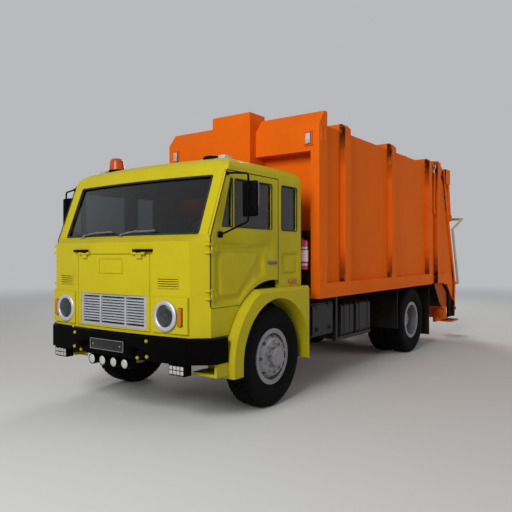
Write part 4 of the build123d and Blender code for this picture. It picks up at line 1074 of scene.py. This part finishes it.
@dataclass
class CabFront:
    """Trim on the cab's front: louvres, hinge covers, blank plate, bolts and screen seal."""

    face: float = 1240.0
    bow: float = 70.0
    turn: float = 1020.0
    louvre_y: Pair = (655.0, 895.0)
    louvre_z: Pair = (1318.0, 1428.0)
    blades: int = 5
    screen: tuple[Pair, ...] = ((-1005, 1842), (1005, 1842), (1003, 2412), (-1003, 2412))

    def build(self) -> None:
        """Makes every piece of the front's trim."""
        self._louvres()
        self._hinge_covers()
        self._plate()
        self._bolts()
        self._screen_seal()
        self._gap_strip()

    def skin(self, y: float) -> float:
        """The front panel's x at a distance from the middle."""
        return self.face - self.bow * (y / self.turn) ** 2

    def glass(self, y: float, z: float) -> float:
        """The screen frame's x at a point across and up."""
        return 1103 - 239 / 627 * (z - 1833) - self.bow * (y / self.turn) ** 2

    def _louvres(self) -> None:
        """Pressed blades in front of a black plate on each side that stands in for the shade in the openings.
        """
        opening = Modeller("louvre_shade_plates", Body.TRUCK, Finishes.plastic)
        blades = Modeller("louvre_blades", Body.TRUCK, Finishes.cab)
        y0, y1 = self.louvre_y
        z0, z1 = self.louvre_z
        middle = (y0 + y1) / 2
        x = self.skin(middle)
        # Painted shade: a black plate where the openings behind the blades would be in shade
        opening.block((x - 8, y0, z0), (x + 1.5, y1, z1), 1, 1)
        pitch = (z1 - z0) / self.blades
        for i in range(self.blades):
            z = z0 + pitch * i
            outline = [(x - 4, y0, z + 18), (x + 2, y0, z + 20), (x + 12, y0, z + 7), (x + 9, y0, z + 4)]
            blades.plate(outline, Vector((0, y1 - y0, 0)), 1)
        border = [(x + 1, y, z) for y, z in rounded([(y0, z0), (y1, z0), (y1, z1), (y0, z1)], 9)]
        blades.tube(border, 5, closed=True, smooth=True)
        lean = Matrix.Rotation(math.atan(2 * self.bow * middle / self.turn ** 2), 3, "Z")
        for piece in (opening, blades):
            bmesh.ops.rotate(piece.bm, verts=piece.bm.verts, cent=(x, middle, 0), matrix=lean)
            piece.done(both=True)

    def _hinge_covers(self) -> None:
        """Black strips over the flap's upper hinge leaves."""
        covers = Modeller("flap_hinge_covers", Body.TRUCK, Finishes.plastic)
        covers.block((1206, 336, 1667), (1258, 592, 1695), 8, 3)
        covers.done(both=True)

    def _plate(self) -> None:
        """A blank number plate with a raised rim and two screws."""
        plate = Modeller("number_plate_blank", Body.TRUCK, Finishes.plate)
        plate.block((1293.1, -258, 670), (1296.5, 258, 786), 1.5)
        plate.done()
        rim = Modeller("number_plate_rim", Body.TRUCK, Finishes.zinc)
        corners = [(-252, 676), (252, 676), (252, 780), (-252, 780)]
        rim.tube([(1296.5, y, z) for y, z in rounded(corners, 16)], 3, closed=True, smooth=True)
        for y in (-205, 205):
            rim.bolt((1296.5, y, 728), X_AXIS, 8)
        rim.done()

    def _bolts(self) -> None:
        """Painted bolt heads on the bumper's face."""
        bolts = Modeller("bumper_bolts", Body.TRUCK, Finishes.cab)
        for y, z in ((550, 810), (-550, 810), (556, 660), (-556, 660), (433, 640), (-433, 640)):
            bolts.bolt((self.face + 45 - self.bow * (y / self.turn) ** 2, y, z), X_AXIS, 15)
        bolts.done()

    def _screen_seal(self) -> None:
        """A rubber bead round the windscreen."""
        seal = Modeller("windscreen_seal", Body.TRUCK, Finishes.seal)
        line = [(self.glass(y, z) - 2, y, z) for y, z in rounded(list(self.screen), 32, 8)]
        seal.tube(line, 11, closed=True, smooth=True)
        seal.done()

    def _gap_strip(self) -> None:
        """A black rubber strip that closes the gap between the bumper's ends and the cab's corners."""
        strip = Modeller("bumper_gap_strips", Body.TRUCK, Finishes.seal)
        outline = ((1120, 880), (1160, 890), (1120, 1032), (1016, 1152), (960, 1152), (960, 1110))
        strip.plate([(x, y, 838) for x, y in outline], Vector((0, 0, 36)), 4)
        strip.done(both=True)


@dataclass
class CabSide:
    """Trim on one side of the cab: window seals, the seal in the door's shut line and the handle."""

    side: Side
    plane: float = 1170.0
    vent: tuple[Pair, ...] = ((874, 1911), (744, 2380), (716, 2380), (716, 1911))
    pane: tuple[Pair, ...] = ((676, 1911), (676, 2383), (33, 2390), (33, 1909))
    quarter: tuple[Pair, ...] = ((-156, 1906), (-156, 2398), (-476, 2398), (-476, 1906))
    shut: tuple[Pair, ...] = ((1043, 1150), (1043, 1808), (793, 2462), (-93, 2462), (-93, 1310))

    def build(self) -> None:
        """Makes the seals and the handle."""
        gap = Modeller(f"door_shut_seal_{self.side.word}", Body.TRUCK, Finishes.seal)
        gap.tube([(x, self.plane - 4, z) for x, z in self.shut], 5)
        gap.done(side=self.side)
        door = Body[f"{self.side.name}_DOOR"]
        self._seal("door_window_seal", door, self.pane, 48)
        self._seal("vent_window_seal", door, self.vent, 12)
        self._seal("quarter_window_seal", Body.TRUCK, self.quarter, 48)
        self._handle(door)

    def _seal(self, name: str, body: Body, corners: tuple[Pair, ...], reach: float) -> None:
        """A rubber bead round one window.

        Args:
            name: the seal's name without its side.
            body: the body that it moves with.
            corners: the opening's corners.
            reach: how far its corners are rounded.
        """
        seal = Modeller(f"{name}_{self.side.word}", body, Finishes.seal)
        seal.tube([(x, self.plane, z) for x, z in rounded(list(corners), reach)], 7, closed=True, smooth=True)
        seal.done(side=self.side)

    def _handle(self, door: Body) -> None:
        """A pull handle on its plate with a push button.

        Args:
            door: the door's body.
        """
        handle = Modeller(f"door_handle_{self.side.word}", door, Finishes.wiper)
        y = self.plane
        handle.block((-64, y - 1, 1535), (104, y + 4, 1569), 2.4)
        grip = ((90, 0), (86, 22), (66, 30), (10, 31), (-14, 28), (-24, 18), (-26, 0))
        handle.tube([(x, y + out, 1552) for x, out in grip], 8.5, smooth=True)
        button = [(0, 12), (9, 11), (11, 8), (11, 2), (14, 1), (14, -1), (0, -1)]
        handle.turned(button, (-46, y + 4, 1552), Y_AXIS, 24)
        handle.done(side=self.side)


@dataclass
class PressedDoor:
    """A door whose skin is drawn softly, with a scoop that deepens towards the handle."""

    side: Side
    step: float = 16.0
    span_x: Pair = (-60.0, 1030.0)
    span_z: Pair = (1150.0, 1900.0)
    scoop_x: float = 80.0
    scoop_z: float = 1700.0
    ahead: float = 560.0
    behind: float = 115.0
    above: float = 175.0
    below: float = 190.0
    depth: float = 34.0
    cove_z: Pair = (1738.0, 1878.0)
    cove_x: Pair = (20.0, 1000.0)
    cove_fade: float = 90.0
    cove_depth: float = 24.0
    passes: int = 3
    skin_y: float = 1138.0

    def build(self) -> bpy.types.Object:
        """Copies the door's solid, cuts its skin finely and presses it.

        Returns:
            The door.
        """
        node = f"door_{self.side.word}"
        door = Modeller(f"{node}_pressed", Body[f"{self.side.name}_DOOR"], Finishes.cab)
        bm = door.bm
        bm.from_mesh(frame["nodes"][node].data)
        bmesh.ops.transform(bm, matrix=TO_ROW.inverted(), verts=bm.verts)
        bmesh.ops.remove_doubles(bm, verts=bm.verts, dist=0.01)
        bmesh.ops.dissolve_limit(bm, angle_limit=math.radians(0.4), verts=bm.verts, edges=bm.edges)
        for axis, (start, stop) in ((X_AXIS, self.span_x), (Z_AXIS, self.span_z)):
            for i in range(int((stop - start) / self.step) + 1):
                geom = [*bm.verts, *bm.edges, *bm.faces]
                bmesh.ops.bisect_plane(bm, geom=geom, dist=0.01, plane_co=axis * (start + i * self.step),
                                       plane_no=axis)
        bmesh.ops.triangulate(bm, faces=[f for f in bm.faces if len(f.verts) > 4])
        self._press(bm)
        return door.done(node, sharp=40)

    def _press(self, bm: bmesh.types.BMesh) -> None:
        """Softens the pressings and sinks the scoop.

        Args:
            bm: the door's mesh in millimetres.
        """
        bm.normal_update()
        s = self.side.value
        skin = [v for v in bm.verts if v.co.y * s > self.skin_y and self.span_x[0] < v.co.x < self.span_x[1]
                and self.span_z[0] < v.co.z < self.span_z[1]
                and all(f.normal.y * s > 0.25 for f in v.link_faces)]
        for _ in range(self.passes):
            bmesh.ops.smooth_vert(bm, verts=skin, factor=0.5, use_axis_y=True)
        for vert in skin:
            along = vert.co.x - self.scoop_x
            up = vert.co.z - self.scoop_z
            u = along / (self.ahead if along > 0 else self.behind)
            v = up / (self.above if up > 0 else self.below)
            scoop = self.depth * max(0.0, 1 - u * u - v * v) ** 1.5
            vert.co.y -= s * max(scoop, self._cove(vert.co.x, vert.co.z))

    def _cove(self, x: float, z: float) -> float:
        """Depth of the cove that runs under the window into the pressing's top edge.

        Args:
            x: place along the truck.
            z: height.

        Returns:
            The depth in millimetres.
        """
        low, high = self.cove_z
        if not low < z < high:
            return 0.0
        rear, front = (max(0.0, d) / self.cove_fade for d in (x - self.cove_x[0], self.cove_x[1] - x))
        ends = min(1.0, front) * min(1.0, rear)
        return self.cove_depth * ends * ((high - z) / (high - low)) ** 1.3


@dataclass
class Mirror:
    """One door mirror: moulded housing, glass, stem, arms and feet."""

    side: Side
    low: Point = (702.0, 1318.0, 2000.0)
    high: Point = (762.0, 1488.0, 2340.0)
    stem_x: float = 730.0
    stem_y: float = 1402.0
    clamps_z: Pair = (2070.0, 2270.0)

    def build(self) -> None:
        """Makes the mirror on its door."""
        door = Body[f"{self.side.name}_DOOR"]
        word = self.side.word
        shell = Modeller(f"mirror_housing_{word}", door, Finishes.plastic)
        shell.block(self.low, self.high, 24, 4)
        for z in self.clamps_z:
            shell.block((758, self.stem_y - 26, z - 20), (774, self.stem_y + 26, z + 20), 5)
        shell.done(f"mirror_{word}", side=self.side)
        arms = Modeller(f"mirror_arms_{word}", door, Finishes.plastic)
        x = self.stem_x + 36
        lower = [(905, 1176, 1830), (896, 1196, 1836), (800, 1330, 1918), (x, self.stem_y - 10, 1945)]
        upper = [(804, 1176, 2422), (802, 1196, 2424), (776, 1360, 2412), (x, self.stem_y - 4, 2405)]
        arms.tube([*lower, (x, self.stem_y, 1985), (x, self.stem_y, 2170), (x, self.stem_y, 2365)]
                  + list(reversed(upper)), 10, smooth=True)
        arms.block((875, 1170.5, 1800), (940, 1182, 1860), 4)
        arms.block((785, 1170.5, 2405), (822, 1182, 2440), 4)
        for place in ((884, 1182, 1812), (931, 1182, 1848), (793, 1182, 2412), (814, 1182, 2434)):
            arms.bolt(place, Y_AXIS, 6)
        arms.done(side=self.side)
        glass = Modeller(f"mirror_glass_{word}", door, Finishes.mirror)
        _, y0, z0 = self.low
        _, y1, z1 = self.high
        glass.block((699.5, y0 + 12, z0 + 14), (703, y1 - 12, z1 - 14), 1.5)
        glass.done(side=self.side)


@dataclass
class Roof:
    """Two beacon bases, the right one with its dome, and the marker lenses on the cab's roof."""

    x: float = 520.0
    y: float = 750.0

    def build(self) -> None:
        """Makes the bases, the dome and the lenses."""
        bases = Modeller("beacon_bases", Body.TRUCK, Finishes.plastic)
        ring = [(0, 2664), (58, 2664), (84, 2661), (93, 2654), (98, 2644), (101, 2612), (0, 2612)]
        bases.turned(ring, (self.x, self.y, 0), Z_AXIS, 40)
        bases.done("amber_lamps", both=True)
        dome = Modeller("beacon_dome", Body.TRUCK, Finishes.beacon)
        bell = [(0, 2796), (36, 2795), (58, 2789), (73, 2776), (80, 2756), (86, 2706), (89.5, 2662),
                (91, 2654), (60, 2654), (0, 2654)]
        dome.turned(bell, (self.x, -self.y, 0), Z_AXIS, 48)
        dome.done("amber_lamps")
        lenses = Modeller("roof_marker_lenses", Body.TRUCK, Finishes.white)
        lenses.block((468, 884, 2612), (592, 976, 2656), 9, 3)
        lenses.done(both=True)


@dataclass
class Extinguisher:
    """Label, shoulder, valve and straps of the fire extinguisher."""

    x: float = -793.0
    y: float = 1050.0
    radius: float = 74.0
    straps_z: Pair = (1508.0, 1708.0)
    strap: Pair = (2.2, 24.0)

    def build(self) -> None:
        """Makes the fittings round the bottle."""
        place = (self.x, self.y, 0)
        r = self.radius
        shoulder = Modeller("extinguisher_shoulder", Body.TRUCK, Finishes.red)
        shoulder.turned([(r, 1786), (r - 1, 1794), (r - 8, 1806), (r - 24, 1816), (34, 1822), (0, 1823)],
                        place, Z_AXIS)
        shoulder.done()
        label = Modeller("extinguisher_label_blank", Body.TRUCK, Finishes.label)
        label.turned([(r, 1556), (r + 0.9, 1557), (r + 0.9, 1690), (r, 1691)], place, Z_AXIS)
        label.done()
        straps = Modeller("extinguisher_straps", Body.TRUCK, Finishes.zinc)
        thick, wide = self.strap
        for z in self.straps_z:
            straps.turned([(r, z), (r + thick, z), (r + thick, z + wide), (r, z + wide)], place, Z_AXIS)
        straps.done()
        valve = Modeller("extinguisher_valve", Body.TRUCK, Finishes.plastic)
        valve.block((self.x - 20, self.y - 26, 1822), (self.x + 20, self.y + 30, 1856), 6)
        lever = ((-18, 1858), (10, 1868), (62, 1880))
        grip = ((-10, 1846), (30, 1842), (60, 1834))
        for bar in (lever, grip):
            valve.tube([(self.x, self.y + out, z) for out, z in bar], 8, smooth=True)
        valve.done()


@dataclass
class LoadBody:
    """Trim on the load body's front posts."""

    rail: float = 1245.0
    post_x: Pair = (-1017.0, -915.0)

    def build(self) -> None:
        """Makes the oval rings on the posts."""
        rings = Modeller("post_oval_rings", Body.TRUCK, Finishes.body)
        for z0, z1 in ((1330, 1500), (3010, 3190)):
            x0, x1 = self.post_x
            oval = rounded([(x0, z0), (x1, z0), (x1, z1), (x0, z1)], 50)
            rings.tube([(x, self.rail, z) for x, z in oval], 7, closed=True, smooth=True)
        rings.done(both=True)


@dataclass
class Tailgate:
    """Bolts, pipes, lamp lenses and step treads on the tailgate."""

    flange: tuple[Pair, ...] = ((-5807, 3245), (-6085, 2340), (-6522, 1060))
    flange_y: float = 1200.0
    lamp_x: float = -6216.0
    lamp_z: Pair = (424.0, 556.0)
    pipe_y: float = 1182.0
    pipe_gap: float = 34.0
    steps: Pair = (-6890.0, -6490.0)
    tread_rows: int = 9
    tread_columns: int = 4
    tread_y: float = 775.0
    tread_pitch: float = 97.0
    tread_stagger: float = 24.0
    tread_z: Pair = (299.0, 305.0)

    def build(self) -> None:
        """Makes every fitting of the tailgate."""
        self._flange_bolts()
        self._pipes()
        self._lamp_lenses()
        self._treads()
        self._beam_bosses()

    def _flange_bolts(self) -> None:
        """Bolts down both rear flanges."""
        bolts = Modeller("tailgate_bolts", Body.TAILGATE, Finishes.zinc)
        for start, stop, count in zip(self.flange, self.flange[1:], (5, 7)):
            for i in range(count):
                x, z = Vector(start).lerp(Vector(stop), (i + 0.5) / count)
                bolts.bolt((x, self.flange_y, z), Y_AXIS, 11)
        bolts.done(both=True)

    def _pipes(self) -> None:
        """Steel oil pipes clipped to the cheeks."""
        pipes = Modeller("tailgate_oil_pipes", Body.TAILGATE, Finishes.chassis)
        y = self.pipe_y
        for k in (0, self.pipe_gap):
            route = [(-5560, y, 3150 - k), (-5700, y, 3150 - k), (-5860 + k, y, 3080 - k),
                     (-5900 + k, y, 2960 - k), (-6010 + k, y, 2560), (-6030 + k, y, 2480)]
            pipes.tube(route, 8, smooth=True)
        for x, z in ((-5620, 3133), (-5950, 2750)):
            pipes.block((x - 34, 1169, z - 34), (x + 40, 1194, z + 34), 5)
        pipes.done(both=True)

    def _lamp_lenses(self) -> None:
        """Red, amber and white lenses on the lamp blocks."""
        bottom, top = self.lamp_z
        for name, finish, low, high in (
            ("red", Finishes.lens_red, 1040, 1106),
            ("amber", Finishes.amber, 1002, 1036),
            ("white", Finishes.white, 964, 998),
        ):
            lens = Modeller(f"tail_lens_{name}", Body.TAILGATE, finish)
            lens.block((self.lamp_x - 9, low, bottom), (self.lamp_x, high, top), 5, 3)
            lens.done(both=True)

    def _treads(self) -> None:
        """Raised bars on the two rear steps."""
        treads = Modeller("step_treads", Body.TAILGATE, Finishes.chassis)
        x0, x1 = self.steps
        bottom, top = self.tread_z
        for row in range(self.tread_rows):
            x = x0 + (x1 - x0) * (row + 0.5) / self.tread_rows
            for column in range(self.tread_columns):
                y = self.tread_y + self.tread_pitch * column + self.tread_stagger * (row % 2)
                treads.block((x - 8, y, bottom), (x + 8, y + 62, top), 2.5, 1)
        treads.done(both=True)

    def _beam_bosses(self) -> None:
        """Turned bosses on the rear beam."""
        bosses = Modeller("rear_beam_bosses", Body.TAILGATE, Finishes.body)
        rear = [(0, -30), (20, -29), (34, -22), (42, -8), (46, 2), (0, 2)]
        front = [(0, 62), (50, 60), (80, 50), (94, 30), (98, -2), (0, -2)]
        cheek = [(0, 34), (30, 33), (44, 26), (50, 12), (50, -2), (0, -2)]
        for y in (300, 620):
            bosses.turned(rear, (-6190, y, 490), X_AXIS, 32)
        bosses.turned(front, (-6050, 1000, 490), X_AXIS, 40)
        bosses.turned(cheek, (-6455, 1200, 560), Y_AXIS, 32)
        bosses.done(both=True)


class Chassis:
    """Fittings below the body: tank straps and cap, locker latches, U-bolts, brake chambers, bands."""

    STRAPS_X = (-1800, -1975, -2265, -2535)
    TANK = ((640, 545), (1100, 545), (1100, 970), (640, 970))
    LATCHES_X = (-1380, -1050)
    AIR_TANK = (-690, 720)
    BANDS_X = (-1510, -1310, -1100, -900)
    SILENCER = (-720, 730)
    SEAMS_X = (-3372, -3235, -2725, -2588)

    def build(self) -> None:
        """Makes every fitting of the chassis."""
        self._tank()
        self._locker()
        self._u_bolts()
        self._brakes()
        self._bands()

    def _tank(self) -> None:
        """Straps round the fuel tanks and a filler cap."""
        straps = Modeller("tank_straps", Body.TRUCK, Finishes.chassis)
        loop = rounded(list(self.TANK), 52)
        for x in self.STRAPS_X:
            straps.tube([(x, y, z) for y, z in loop], 7, closed=True, smooth=True)
        straps.done()
        cap = Modeller("tank_cap", Body.TRUCK, Finishes.plastic)
        lid = [(0, 48), (30, 47), (46, 42), (50, 34), (50, 14), (42, 10), (42, -6), (0, -6)]
        cap.turned(lid, (-1890, 1010, 970), Z_AXIS, 32)
        cap.done()

    def _locker(self) -> None:
        """Hinges and two turn latches on the locker's lid."""
        fittings = Modeller("locker_latches", Body.TRUCK, Finishes.chassis)
        for x in self.LATCHES_X:
            fittings.block((x - 30, 1099, 680), (x + 30, 1106, 740), 2.5)
            fittings.turned([(0, 18), (12, 17), (16, 13), (16, -1), (0, -1)], (x, 1106, 712), Y_AXIS, 24)
            fittings.block((x - 7, 1116, 690), (x + 7, 1126, 734), 3)
            fittings.rod((x - 50, 1100, 1012), (x + 50, 1100, 1012), 10)
            fittings.block((x - 40, 1099, 960), (x + 40, 1104, 1010), 2)
        fittings.done()

    def _u_bolts(self) -> None:
        """U-bolts over the spring packs."""
        bolts = Modeller("spring_u_bolts", Body.TRUCK, Finishes.chassis)
        for x0, y0, y1, low, top in ((0, 378, 482, 470, 612), (REAR_AXLE, 436, 544, 590, 792)):
            for x in (x0 - 52, x0 + 52):
                loop = [(x, y0, low), (x, y0, top - 40), (x, y0, top), (x, y0 + 40, top), (x, y1 - 40, top)]
                bolts.tube([*loop, (x, y1, top), (x, y1, top - 40), (x, y1, low)], 11, smooth=True)
                for y in (y0, y1):
                    bolts.bolt((x, y, low + 8), -Z_AXIS, 17)
        bolts.done(both=True)

    def _brakes(self) -> None:
        """Brake chambers ahead of the rear axle."""
        cans = Modeller("brake_chambers", Body.TRUCK, Finishes.chassis)
        can = [(0, 0), (50, 2), (76, 16), (80, 60), (88, 66), (88, 78), (80, 84), (78, 130), (60, 150),
               (0, 154)]
        cans.turned(can, (-4060, 360, 650), X_AXIS, 32)
        cans.block((-4130, 330, 560), (-4056, 390, 690), 8)
        cans.done(both=True)

    def _bands(self) -> None:
        """Bands round the air tanks and the silencer."""
        bands_made = Modeller("tank_bands", Body.TRUCK, Finishes.chassis)
        for x in self.BANDS_X:
            bands_made.turned([(129.5, -15), (133, -15), (133, 15), (129.5, 15)], (x, *self.AIR_TANK), X_AXIS)
        bands_made.done()
        seams = Modeller("silencer_seams", Body.TRUCK, Finishes.exhaust)
        for x in self.SEAMS_X:
            seams.turned([(164, -8), (171, -6), (171, 6), (164, 8)], (x, *self.SILENCER), X_AXIS)
        seams.done()


@dataclass
class Dash:
    """The instrument binnacle on the dashboard."""

    y: Pair = (560.0, 910.0)

    def build(self) -> None:
        """Makes the binnacle with its dials."""
        hood = Modeller("instrument_hood", Body.TRUCK, Finishes.plastic)
        y0, y1 = self.y
        outline = [(842, y0, 1700), (862, y0, 1835), (960, y0, 1850), (1000, y0, 1795)]
        hood.plate(outline, Vector((0, y1 - y0, 0)), 10)
        hood.done()
        dials = Modeller("instrument_dials", Body.TRUCK, Finishes.chrome)
        way = Vector((-0.99, 0, 0.146)).normalized()
        for y in (650, 820):
            dials.turned([(48, -2), (56, -2), (56, 6), (52, 8), (48, 6)], (851, y, 1768), way, 32)
        dials.done()


class Stage:
    """Floor, surround, lights and camera."""

    CAMERA = (7.7593, 4.5266, 1.638)
    YAW = -144.21
    PITCH = -0.13
    ROLL = -0.09
    LENS = 39.15
    AMBIENT = 0.26
    SURROUND = 0.62
    BACKDROP = "#E4E6EA"
    FADE = (7.0, 24.0)

    def build(self) -> None:
        """Makes the set."""
        scene = bpy.context.scene
        scene.view_settings.view_transform = "Standard"
        self._floor()
        self._world()
        self._lights()
        self._camera()

    def _floor(self) -> None:
        """A wide pale floor."""
        bm = bmesh.new()
        bmesh.ops.create_grid(bm, x_segments=1, y_segments=1, size=60)
        mesh = bpy.data.meshes.new("floor")
        bm.to_mesh(mesh)
        bm.free()
        mesh.materials.append(self._floor_material())
        floor = bpy.data.objects.new("floor", mesh)
        floor.location.z = -0.002
        bpy.context.scene.collection.objects.link(floor)

    def _floor_material(self) -> bpy.types.Material:
        """Matt pale paint that takes the surround's level far from the truck.

        Returns:
            The floor's material.
        """
        made = bpy.data.materials.new("floor_paint_pale")
        made.use_nodes = True
        tree = made.node_tree
        shader = tree.nodes["Principled BSDF"]
        shader.inputs["Base Color"].default_value = linear("#D9D9D6")
        shader.inputs["Roughness"].default_value = 0.9
        shader.inputs["Specular IOR Level"].default_value = 0.1
        away = add(tree, "VectorMath", {0: add(tree, "TexCoord").outputs["Object"]}, operation="LENGTH")
        far = add(tree, "MapRange", {"Value": away.outputs["Value"], "From Min": self.FADE[0],
                                     "From Max": self.FADE[1]}, interpolation_type="SMOOTHSTEP")
        share = maths(tree, "MULTIPLY", far.outputs["Result"], self._seen(tree))
        glow = add(tree, "Emission", {"Color": linear(self.BACKDROP), "Strength": self.SURROUND})
        mixed = add(tree, "MixShader", {0: share, 1: shader.outputs[0], 2: glow.outputs[0]})
        tree.links.new(mixed.outputs[0], tree.nodes["Material Output"].inputs["Surface"])
        return made

    def _seen(self, tree: Tree) -> Socket:
        """1 for camera, gloss and glass rays, 0 for the light that falls on the truck."""
        path = add(tree, "LightPath").outputs
        seen = maths(tree, "MAXIMUM", path["Is Camera Ray"], path["Is Glossy Ray"])
        return maths(tree, "MAXIMUM", seen, path["Is Transmission Ray"])

    def _world(self) -> None:
        """A soft surround that is paler where the camera, gloss and glass look at it."""
        world = bpy.data.worlds.new("surround")
        world.use_nodes = True
        bpy.context.scene.world = world
        tree = world.node_tree
        back = tree.nodes["Background"]
        back.inputs["Color"].default_value = linear(self.BACKDROP)
        level = ramp(tree, self._seen(tree), 0, 1, self.AMBIENT, self.SURROUND)
        tree.links.new(level, back.inputs["Strength"])

    def _lights(self) -> None:
        """A key from ahead, a fill by the load body on the left, and a lamp behind on the right."""
        for name, place, target, size, power in (
            ("key", (12.5, 2.4, 7.0), (0, 0, 1.6), 5, 1010),
            ("fill", (-5, 12.5, 4.6), (-3, 0, 1.8), 6, 330),
            ("back", (-10.5, -7, 8), (-1, 0, 1.8), 6, 800),
        ):
            lamp = bpy.data.lights.new(name, "AREA")
            lamp.shape = "SQUARE"
            lamp.size = size
            lamp.energy = power
            holder = bpy.data.objects.new(name, lamp)
            holder.location = place
            holder.rotation_euler = (Vector(target) - Vector(place)).to_track_quat("-Z", "Y").to_euler()
            bpy.context.scene.collection.objects.link(holder)

    def _camera(self) -> None:
        """The photograph's viewpoint."""
        yaw, pitch, roll = (math.radians(a) for a in (self.YAW, self.PITCH, self.ROLL))
        ahead = Vector((math.cos(pitch) * math.cos(yaw), math.cos(pitch) * math.sin(yaw), math.sin(pitch)))
        camera = bpy.data.cameras.new("camera")
        camera.sensor_width = 36
        camera.lens = self.LENS
        camera.clip_end = 300
        holder = bpy.data.objects.new("camera", camera)
        holder.location = self.CAMERA
        turn = ahead.to_track_quat("-Z", "Y").to_matrix() @ Matrix.Rotation(roll, 3, "Z")
        holder.rotation_euler = turn.to_euler()
        bpy.context.scene.collection.objects.link(holder)
        bpy.context.scene.camera = holder


# The finish of each material slot's solids
SLOT_FINISH = {
    "chassis_black": Finishes.chassis, "cast_block": Finishes.block, "tank_black": Finishes.tank,
    "exhaust_steel": Finishes.exhaust, "bumper_black": Finishes.bumper, "cab_yellow": Finishes.cab,
    "trim_black": Finishes.plastic, "cab_window": Finishes.pane, "seat_cloth": Finishes.cloth,
    "bright_metal": Finishes.zinc, "lamp_chrome": Finishes.chrome, "amber_lens": Finishes.amber,
    "red_lens": Finishes.lens_red, "body_orange": Finishes.body, "extinguisher_red": Finishes.red,
    "flap_rubber": Finishes.flap, "arm_beige": Finishes.arm, "tyre_rubber": Finishes.tyre,
    "wheel_silver": Finishes.wheel,
}


# Nodes that differ from the rest of their slot
NODE_FINISH = {
    "grille": Finishes.grille, "hopper_trough": Finishes.hopper, "ram_barrel_left": Finishes.body,
    "ram_barrel_right": Finishes.body, "tailgate_sides": Finishes.cheek, "wipers": Finishes.wiper,
}


def dress_solids() -> None:
    """Gives every CAD node its own finish or that of its material slot."""
    for part in frame["record"]["subparts"]:
        node = frame["nodes"][part["node"]]
        finish = NODE_FINISH.get(part["node"], SLOT_FINISH[part["material_slot"]])
        for slot in node.material_slots:
            slot.material = finish.material()
        LOG.info("%s takes %s", node.name, finish.name)


def main() -> None:
    """Builds the set, the finishes and the pieces in order."""
    logging.basicConfig(level=logging.INFO, format="%(message)s")
    Stage().build()
    dress_solids()
    for side in Side:
        s = side.value
        word = side.word
        front = Body[f"{side.name}_FRONT"]
        rear = Body[f"{side.name}_REAR"]
        Tyre(f"front_tyre_{word}_treaded", f"front_tyre_{word}", front, 0, (s * 1030,)).build()
        Tyre(f"rear_tyres_{word}_treaded", f"rear_tyres_{word}", rear, REAR_AXLE, (s * 1040, s * 720)).build()
        WheelFittings(f"front_nuts_{word}", front, 0, 1182.2, side).build()
        WheelFittings(f"rear_nuts_{word}", rear, REAR_AXLE, 930.2, side, circle=172, hub_face=1072,
                      hub_circle=84).build()
    Lamps().build()
    CabFront().build()
    Roof().build()
    Dash().build()
    Extinguisher().build()
    LoadBody().build()
    Tailgate().build()
    Chassis().build()
    for side in Side:
        PressedDoor(side).build()
        CabSide(side).build()
        Mirror(side).build()
        Seat(side).build()


if __name__ == "__main__":
    main()
